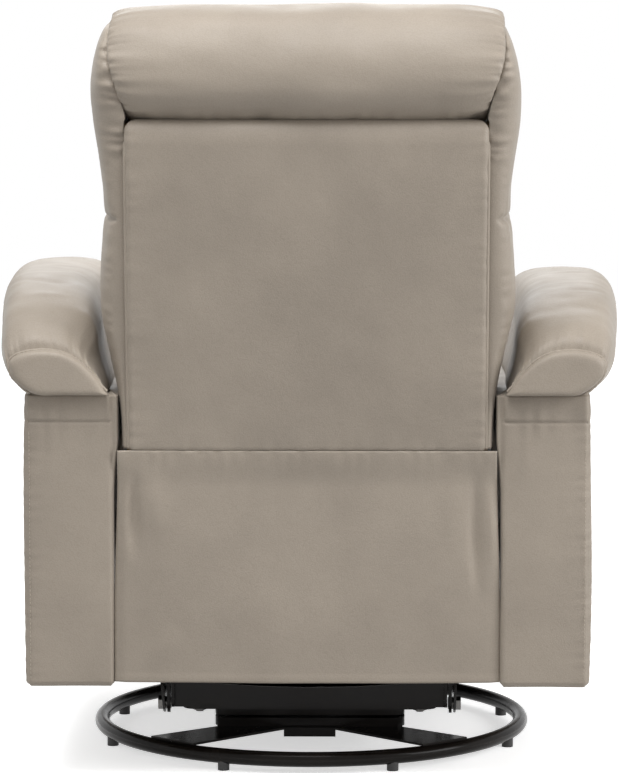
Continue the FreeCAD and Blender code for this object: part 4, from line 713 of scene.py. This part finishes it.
def make_arm_box(side_name, side):
    rings = []
    for share in np.linspace(0, 1, 200):
        z = ARM_FOOT + share * (ARM_TOP - ARM_FOOT)
        foot = 0.004 * (1 - ease(z, ARM_FOOT, 0.128))
        bow = 0.3 + 0.7 * math.sin(math.pi * share) ** 0.6
        inner = ARM_INNER - 0.0058 * ease(z, 0.36, 0.44) + foot
        outer, rear, front = ARM_OUTER - foot, ARM_REAR - foot, ARM_FRONT + foot
        ring = np.concatenate([
            side_run((inner, front), (outer, front), 50, 0.007 * bow),
            side_run((outer, front), (outer, rear), 190, 0.0110 * bow, 0.32),
            side_run((outer, rear), (inner, rear), 60, 0.0030 * bow),
            side_run((inner, rear), (inner, front), 120, 0.0),
        ])
        ring = (ring + np.roll(ring, 1, 0) * 0.6 + np.roll(ring, -1, 0) * 0.6) / 2.2
        rings.append(np.concatenate([ring, np.full((len(ring), 1), z)], 1))
    grid = np.array(rings)
    x, y, z = grid[..., 0], grid[..., 1], grid[..., 2]
    lift = np.zeros_like(x)
    outward = ease(x, 0.2435, 0.247)
    # Corner seams and the band seam under the pillow
    for corner_x in (ARM_OUTER, ARM_INNER):
        for corner_y in (ARM_REAR, ARM_FRONT):
            off = np.hypot(x - corner_x, y - corner_y)
            lift -= 0.0024 * hump(off, 0, 0.0028)
            if corner_x == ARM_OUTER:
                lift += puckers(z, off, 0.0004, 0.013, 0.019, 71 + side)
    off = z - ARM_BAND
    seam = outward * (1 - 0.85 * ease(x, 0.3490, 0.3525))
    lift -= (0.0026 * hump(off, 0, 0.0017) + 0.0006 * hump(off, -0.004, 0.010)) * seam
    lift += puckers(x + y, off, 0.0007, 0.018, 0.024, 73 + side) * seam
    lift += 0.0011 * noise(grid * [1, 1, 0.5], 0.13, 75 + side) * outward
    lift += 0.0012 * hump(off, 0.018, 0.012) * seam
    # Soft folds: one on the rear face, and four along the outer side
    if side > 0:
        lift += fold(grid, (0.300, ARM_REAR, 0.44), (0.335, ARM_REAR, 0.36), 0.0016, 0.011)
    else:
        lift += fold(grid, (0.285, ARM_REAR, 0.445), (0.262, ARM_REAR, 0.37), 0.0018, 0.010)
    for start, end, height, width in (
            ((0.357, 0.22, 0.46), (0.359, 0.10, 0.30), 0.0022, 0.03),
            ((0.357, -0.05, 0.45), (0.359, -0.16, 0.33), -0.0018, 0.025),
            ((0.357, -0.28, 0.44), (0.359, -0.34, 0.22), 0.0020, 0.028),
            ((0.359, 0.05, 0.16), (0.359, -0.22, 0.20), 0.0014, 0.02)):
        lift += fold(grid, start, end, height, width)
    grid = grid + grid_normals(grid) * lift[..., None]
    upholstery("arm_box_" + side_name, *shell(grid * np.array([side, 1, 1])), "chassis",
               ["arm_cover_" + side_name], 0.9)
    # Topstitching beside the outer corner seams
    for label, y, outwards in (("rear", ARM_REAR + 0.0028, 1), ("front", ARM_FRONT - 0.0038, -1)):
        line = np.array([(side * (ARM_OUTER - 0.0050), y, h) for h in np.linspace(0.130, 0.447, 120)])
        stitches("arm_%s_stitch_%s" % (label, side_name), line, (0, outwards, 0), "chassis")


for side_name, side in SIDES:
    make_arm_box(side_name, side)

# Arm pillows
# A wrapped cover with a D-shaped panel at each end. The two outlines are shares of the pillow's width
# and height, in its middle and at its rear end. The tables give its top and sides at places along Y.

PAD_FRONT, PAD_REAR = -0.430, 0.352
PAD_FOOT = 0.4892
PAD_LOWER_RIGHT = 0.0125
PAD_MID = [
    (-0.06, 0.0), (0.26, 0.0), (0.54, 0.0), (0.72, 0.035), (0.88, 0.15), (0.975, 0.35), (1.0, 0.55),
    (0.985, 0.745), (0.925, 0.90), (0.81, 0.978), (0.64, 1.0), (0.44, 0.995), (0.25, 0.962), (0.105, 0.87),
    (0.025, 0.70), (0.0, 0.50), (-0.035, 0.31), (-0.085, 0.13), (-0.095, 0.03),
]
PAD_END = [
    (0.0, 0.0), (0.24, 0.0), (0.47, 0.0), (0.68, 0.01), (0.82, 0.15), (0.93, 0.37), (0.965, 0.56),
    (0.965, 0.74), (0.90, 0.88), (0.77, 0.97), (0.60, 1.0), (0.42, 0.94), (0.29, 0.80), (0.21, 0.66),
    (0.14, 0.51), (0.08, 0.36), (0.035, 0.22), (0.0, 0.10), (-0.02, 0.02),
]
PAD_TOP = [
    (PAD_FRONT, 0.549), (-0.415, 0.576), (-0.390, 0.597), (-0.340, 0.616), (-0.240, 0.627), (-0.080, 0.631),
    (0.080, 0.629), (0.190, 0.622), (0.260, 0.608), (0.305, 0.591), (0.335, 0.571), (0.348, 0.5560),
    (PAD_REAR, 0.5475),
]
PAD_OUTER = [
    (PAD_FRONT, 0.392), (-0.400, 0.404), (-0.330, 0.410), (-0.050, 0.411), (0.070, 0.404), (0.160, 0.3965),
    (0.240, 0.3895), (0.300, 0.3845), (0.335, 0.3800), (PAD_REAR, 0.3750),
]
PAD_INNER = [
    (PAD_FRONT, 0.282), (-0.400, 0.276), (-0.330, 0.2720), (0.100, 0.2690), (0.200, 0.2645),
    (0.290, 0.2615), (0.325, 0.2585), (0.342, 0.2530), (PAD_REAR, 0.2475),
]
# Creases over the crest, where the cover is slack: x and y at both ends, and how far they stand up
PAD_CREASES = [
    (0.30, 0.20, 0.40, 0.16, -0.0022), (0.29, 0.10, 0.39, 0.13, 0.0016),
    (0.30, -0.02, 0.40, -0.06, -0.0018), (0.29, -0.16, 0.38, -0.13, 0.0018),
    (0.31, -0.28, 0.41, -0.25, -0.0020), (0.285, 0.27, 0.36, 0.24, 0.0018),
]
PAD_REAR_RINGS, PAD_FRONT_RINGS = 22, 14


def make_arm_pillow(side_name, side):
    rows, columns = 200, 150
    mid, end = curve(PAD_MID, columns), curve(PAD_END, columns)
    centre, half = (PAD_REAR + PAD_FRONT) / 2, (PAD_REAR - PAD_FRONT) / 2
    lower = PAD_LOWER_RIGHT if side < 0 else 0
    rings = []
    for y in centre + half * crowded(rows, 1.3):
        inner, outer = smooth_table(y, PAD_INNER), smooth_table(y, PAD_OUTER)
        top = smooth_table(y, PAD_TOP) - lower * float(ease(abs(y + 0.04), 0.39, 0.30))
        share = max(float(ease(y, 0.285, 0.356)), 0.6 * float(ease(y, -0.36, PAD_FRONT)))
        outline = mid + (end - mid) * share
        rings.append(np.stack([inner + outline[:, 0] * (outer - inner), np.full(columns, y),
                               PAD_FOOT + outline[:, 1] * (top - PAD_FOOT)], -1))
    grid = np.array(rings)
    ends = grid[0], grid[-1]
    x, y, z = grid[..., 0], grid[..., 1], grid[..., 2]
    around = np.linspace(0, 1, columns, endpoint=False)[None, :] * 0.42
    upper = ease(z, 0.492, 0.505)
    lift = np.zeros_like(x)
    # Fine and broad gathers run into the end seams
    for place, sign in ((PAD_REAR, 1), (PAD_FRONT, -1)):
        off = np.abs(y - place)
        lift += (puckers(around, off, 0.0008, 0.007, 0.0078, 81 + side + sign)
                 + puckers(around, off, 0.0006, 0.026, 0.034, 83 + side + sign)) * upper
        lift -= 0.0022 * hump(off, 0, 0.0024) * upper
    lift += 0.0009 * noise(grid * [1, 0.6, 1], 0.13, 85 + side) * upper
    lift += 0.0003 * noise(grid, 0.045, 86 + side) * upper
    for number, (x0, y0, x1, y1, height) in enumerate(PAD_CREASES):
        shift = 0.012 * side * (-1) ** number
        lift += fold(grid, (x0, y0 + shift, 0.622), (x1, y1 - shift, 0.612), height, 0.011) * upper
    grid = grid + grid_normals(grid) * lift[..., None]
    rear = cap(ends[1], (0, 1, 0), 0.0095, PAD_REAR_RINGS, 12.0)
    front = cap(ends[0], (0, -1, 0), 0.0060, PAD_FRONT_RINGS, 8.0)
    # The end panels sit a little inside their seams
    rear[..., 1] -= 0.0034 * np.exp(-(np.arange(PAD_REAR_RINGS) / 1.2) ** 2)[:, None]
    front[..., 1] += 0.0030 * np.exp(-np.arange(PAD_FRONT_RINGS) ** 2.0)[:, None]
    grid = np.concatenate([front[::-1], grid, rear])
    upholstery("arm_pillow_" + side_name, *shell(grid * np.array([side, 1, 1])), "chassis",
               ["arm_pad_" + side_name], 0.75)
    # A welt on the rear seam, and topstitching beside both end seams
    arc = slice(int(columns * 0.24), int(columns * 0.97))
    welt = grid[-1 - PAD_REAR_RINGS][arc] * [side, 1, 1] + [0, 0.0004, 0]
    piping("arm_pillow_welt_" + side_name, curve(welt, 150, closed=False), 0.0019, "chassis")
    for label, ring, shift in (("rear", grid[-2 - PAD_REAR_RINGS], -0.0045),
                               ("front", grid[1 + PAD_FRONT_RINGS], 0.0045)):
        path = (ring + [0, shift, 0])[arc] * [side, 1, 1]
        middle = ring.mean(0) * [side, 1, 1]
        out = path - middle
        out[:, 1] = 0
        out /= np.linalg.norm(out, axis=1, keepdims=True)
        stitches("arm_pillow_%s_stitch_%s" % (label, side_name), path + out * 0.0012, out, "chassis",
                 radius=0.0006)


for side_name, side in SIDES:
    make_arm_pillow(side_name, side)

# Cushions that face the sitter: wrapped forms inflated by a short cloth simulation

PRESSURE = 4.0
SIMULATED_FRAMES = 14
END_SHRINK = 0.06
CUSHION_ROWS = 90
END_ROWS = 14


def puff(obj, held, limit):
    """Inflates a closed piece between its held points, then keeps the result."""
    rest = np.zeros(len(obj.data.vertices) * 3)
    obj.data.vertices.foreach_get("co", rest)
    rest = rest.reshape(-1, 3)
    group = obj.vertex_groups.new(name="held")
    group.add([int(i) for i in np.flatnonzero(held)], 1.0, "REPLACE")
    cloth = obj.modifiers.new("cloth", "CLOTH")
    settings = cloth.settings
    settings.quality = 5
    settings.mass = 0.4
    settings.tension_stiffness = settings.compression_stiffness = 25
    settings.shear_stiffness = 12
    settings.bending_stiffness = 1.2
    settings.use_pressure = True
    settings.uniform_pressure_force = PRESSURE
    settings.vertex_group_mass = "held"
    settings.effector_weights.gravity = 0
    settings.shrink_min = -0.025
    cloth.collision_settings.use_collision = False
    cloth.point_cache.frame_start, cloth.point_cache.frame_end = 1, SIMULATED_FRAMES
    scene = bpy.context.scene
    for number in range(1, SIMULATED_FRAMES + 1):
        scene.frame_set(number)
    evaluated = obj.evaluated_get(bpy.context.evaluated_depsgraph_get())
    moved = np.zeros(len(rest) * 3)
    evaluated.data.vertices.foreach_get("co", moved)
    moved = moved.reshape(-1, 3)
    obj.modifiers.remove(cloth)
    obj.vertex_groups.clear()
    scene.frame_set(1)
    change = moved - rest
    size = np.linalg.norm(change, axis=1, keepdims=True)
    change *= np.minimum(1, limit / (size + 1e-9))
    obj.data.vertices.foreach_set("co", (rest + change).reshape(-1))
    obj.data.update()


def make_cushion(name, half, section, to_world, body, stands_for, seams=(), seed=0, gusset=0.010,
                 columns=130, grown=0.010):
    """A cushion across the chair, whose outline and sewn-in seams are places (depth, height)."""
    outline = curve(section, columns)
    core = outline.mean(0)
    t = crowded(CUSHION_ROWS, 1.4)
    rings = []
    for share in t:
        shrink = END_SHRINK * (1 - math.sqrt(max(1 - abs(share) ** 10, 0)))
        shaped = core + (outline - core) * (1 - shrink)
        rings.append(np.stack([np.full(columns, share * half), shaped[:, 0], shaped[:, 1]], -1))
    local = np.array(rings)
    normal = grid_normals(local)
    around = np.linspace(0, 1, columns, endpoint=False)[None, :] * 0.6
    off = (1 - np.abs(t))[:, None] * half
    lift = puckers(around, off, 0.0022, 0.022, 0.026, 100 + seed) + 0.0012 * noise(local, 0.10, 110 + seed)
    held = np.zeros(local.shape[:2], bool)
    held[:1] = held[-1:] = True
    for depth, height in seams:
        near = np.hypot(outline[:, 0] - depth, outline[:, 1] - height)
        index = int(near.argmin())
        held[:, index] = True
        step = np.linalg.norm(outline - outline[index], axis=1)[None, :]
        lift -= 0.006 * hump(step, 0, 0.005) + 0.004 * hump(step, 0, 0.016)
        lift += puckers(local[..., 0], step, 0.0016, 0.020, 0.030, 120 + seed + index)
    local = local + normal * lift[..., None]
    local = np.concatenate([cap(local[0], (-1, 0, 0), gusset, END_ROWS)[::-1], local,
                            cap(local[-1], (1, 0, 0), gusset, END_ROWS)])
    free = np.zeros((END_ROWS, columns), bool)
    held = np.concatenate([free.reshape(-1), held.reshape(-1), free.reshape(-1), [False, False]])
    world = to_world(local[..., 0], local[..., 1], local[..., 2])
    verts, faces = shell(world)
    made = piece(name, verts, faces, LEATHER)
    puff(made, held, grown)
    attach(made, body)
    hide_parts(*stands_for)


def soft_slab(name, low, high, radius, to_world, body):
    """A board or sheet under leather: a box with rounded edges, (x, depth, height) from low to high."""
    half = (np.array(high) - np.array(low)) / 2
    centre = (np.array(high) + np.array(low)) / 2
    turn = np.linspace(0, 2 * math.pi, 48, endpoint=False)
    rings = []
    for t in np.linspace(-1, 1, 24):
        run = math.copysign(1 - (1 - abs(t)) ** 2.5, t) * half[0]
        past = max(abs(run) - (half[0] - radius), 0) / radius
        inset = radius * (1 - math.sqrt(max(1 - past**2, 0)))
        across = [math.copysign(1, f(a)) * (h - radius) + f(a) * (radius - inset)
                  for a in turn for f, h in ((math.cos, half[1]), (math.sin, half[2]))]
        across = np.reshape(across, (len(turn), 2)) + centre[1:]
        rings.append(np.column_stack([np.full(len(turn), centre[0] + run), across]))
    local = np.array(rings)
    verts, faces = shell(to_world(local[..., 0], local[..., 1], local[..., 2]))
    upholstery(name, verts, faces, body, (), 0.9)


# Covers over the footrest board, along the front seat rail and in front of the back's frame
board_low, board_high = (np.array(corner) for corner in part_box("footrest_board"))
rail_low, rail_high = (np.array(corner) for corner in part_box("seat_rails"))
BOARD_COVER = np.array([0.002, 0.0006, 0.002])
soft_slab("footrest_board_cover", board_low - BOARD_COVER, board_high + BOARD_COVER, 0.0045, upright,
          "footrest")
apron = min(max((rail_low[1] - board_high[1]) / 2, 0.0012), 0.004)
soft_slab("seat_apron", (-0.2225, rail_low[1] - apron, rail_low[2] - 0.001),
          (0.2225, rail_low[1] + 0.006, rail_high[2]), 0.0012, upright, "seat")
soft_slab("back_lining", (-0.2215, -0.0668, 0.004), (0.2215, -0.0618, 0.400), 0.0018, from_back, "back")

make_cushion("seat_pillow", 0.224, [
    (0.128, 0.396), (0.138, 0.412), (0.137, 0.448), (0.122, 0.472), (0.040, 0.4775), (-0.120, 0.479),
    (-0.280, 0.478), (-0.385, 0.470), (-0.413, 0.450), (-0.421, 0.430), (-0.412, 0.406), (-0.390, 0.397),
    (-0.250, 0.3960), (-0.050, 0.3960)], upright, "seat", ["seat_cushion"],
    seams=((-0.383, 0.470),), seed=1, columns=180)
make_cushion("lumbar_pillow", 0.2185, [
    (-0.062, 0.042), (-0.062, 0.110), (-0.062, 0.165), (-0.066, 0.208), (-0.095, 0.217), (-0.150, 0.213),
    (-0.182, 0.192), (-0.193, 0.150), (-0.194, 0.110), (-0.184, 0.060), (-0.152, 0.038), (-0.095, 0.033)],
    from_back, "back", ["lumbar_cushion"], seed=2)
make_cushion("middle_pillow", 0.2185, [
    (-0.062, 0.235), (-0.062, 0.290), (-0.062, 0.340), (-0.066, 0.373), (-0.095, 0.381), (-0.148, 0.377),
    (-0.179, 0.358), (-0.190, 0.320), (-0.190, 0.285), (-0.180, 0.250), (-0.150, 0.231), (-0.095, 0.226)],
    from_back, "back", ["middle_cushion"], seed=3)
make_cushion("footrest_pillow", 0.221, [
    (-0.4118, 0.166), (-0.4118, 0.230), (-0.4118, 0.300), (-0.4120, 0.372), (-0.424, 0.383),
    (-0.440, 0.378), (-0.4485, 0.350), (-0.4515, 0.300), (-0.4515, 0.235), (-0.4485, 0.188),
    (-0.440, 0.164), (-0.425, 0.158)], upright, "footrest", ["footrest_cushion"],
    seed=4, grown=0.005, gusset=0.004, columns=110)

# Floor, light and camera


def lamp(name, place, aim, width, height, power):
    """A soft rectangular lamp that faces a point of the chair."""
    data = bpy.data.lights.new(name, "AREA")
    data.shape = "RECTANGLE"
    data.size, data.size_y, data.energy = width, height, power
    obj = bpy.data.objects.new(name, data)
    bpy.context.scene.collection.objects.link(obj)
    obj.location = place
    way = np.array(aim, float) - np.array(place, float)
    flat = math.hypot(way[0], way[1])
    obj.rotation_euler = (math.atan2(flat, -way[2]), 0, math.atan2(way[1], way[0]) - math.pi / 2)


def direct_look(tree):
    """1 where the camera, a reflection or a clear piece sees it, 0 for the light that it throws."""
    path = tree.nodes.new("ShaderNodeLightPath")
    total = add(tree, path.outputs["Is Camera Ray"], path.outputs["Is Glossy Ray"], 1.0)
    total = add(tree, total, path.outputs["Is Transmission Ray"], 1.0)
    return span(tree, total, 0.0, 1.0, 0.0, 1.0)


floor_material, tree, shader, place = material("studio_floor")
speck = texture(tree, "ShaderNodeTexNoise", place, 3.0, Detail=2.0)
pale = ramp(tree, speck.outputs[0], 0.3, 0.7, (0.90, 0.90, 0.90), (0.93, 0.93, 0.93))
look = direct_look(tree)
tree.links.new(mixed(tree, "MIX", look, (0.40, 0.40, 0.40, 1), pale), shader.inputs["Base Color"])
shader.inputs["Roughness"].default_value = 0.7
# To the camera the floor is near white and keeps the chair's shadow, but it throws no more light
shader.inputs["Emission Color"].default_value = (1, 1, 1, 1)
tree.links.new(span(tree, look, 0.0, 1.0, 0.0, 0.6), shader.inputs["Emission Strength"])
floor = piece("studio_floor", [(-8, -8, 0), (8, -8, 0), (8, 8, 0), (-8, 8, 0)], [(0, 1, 2, 3)],
              floor_material, smooth=False)

lamp("overhead", (0.4, 1.3, 3.0), (0.0, 0.1, 0.5), 2.0, 1.6, 74)
lamp("side_right", (-3.0, 1.2, 1.5), (0.0, 0.1, 0.6), 1.6, 1.6, 64)
lamp("side_left", (3.0, 0.9, 1.5), (0.0, 0.1, 0.6), 1.6, 1.6, 4)
lamp("front", (0.3, -3.5, 2.4), (0.0, 0.0, 0.5), 2.4, 1.6, 36)

world = bpy.data.worlds.new("studio")
bpy.context.scene.world = world
world.use_nodes = True
world.node_tree.nodes["Background"].inputs[0].default_value = (1, 1, 1, 1)
ambient = span(world.node_tree, direct_look(world.node_tree), 0.0, 1.0, 0.5, 1.0)
world.node_tree.links.new(ambient, world.node_tree.nodes["Background"].inputs[1])
bpy.context.scene.view_settings.view_transform = "Standard"

# The camera stands behind the chair and a little to its right. Image sizes are in pixels.
YAW = math.radians(0.9)
PITCH = math.radians(5.541)
DISTANCE = 4.5
CAMERA_HEIGHT = 0.9039
IMAGE_WIDTH, IMAGE_HEIGHT = 619, 773
FOCAL_PIXELS = 3367.3
AXIS_COLUMN = 311.3
camera = bpy.data.objects.new("camera", bpy.data.cameras.new("camera"))
bpy.context.scene.collection.objects.link(camera)
camera.location = (-DISTANCE * math.sin(YAW), DISTANCE * math.cos(YAW), CAMERA_HEIGHT)
camera.rotation_euler = (math.pi / 2 - PITCH, 0, math.pi + YAW)
camera.data.lens = FOCAL_PIXELS * camera.data.sensor_width / IMAGE_HEIGHT
camera.data.shift_x = (IMAGE_WIDTH / 2 - AXIS_COLUMN) / IMAGE_HEIGHT
bpy.context.scene.camera = camera
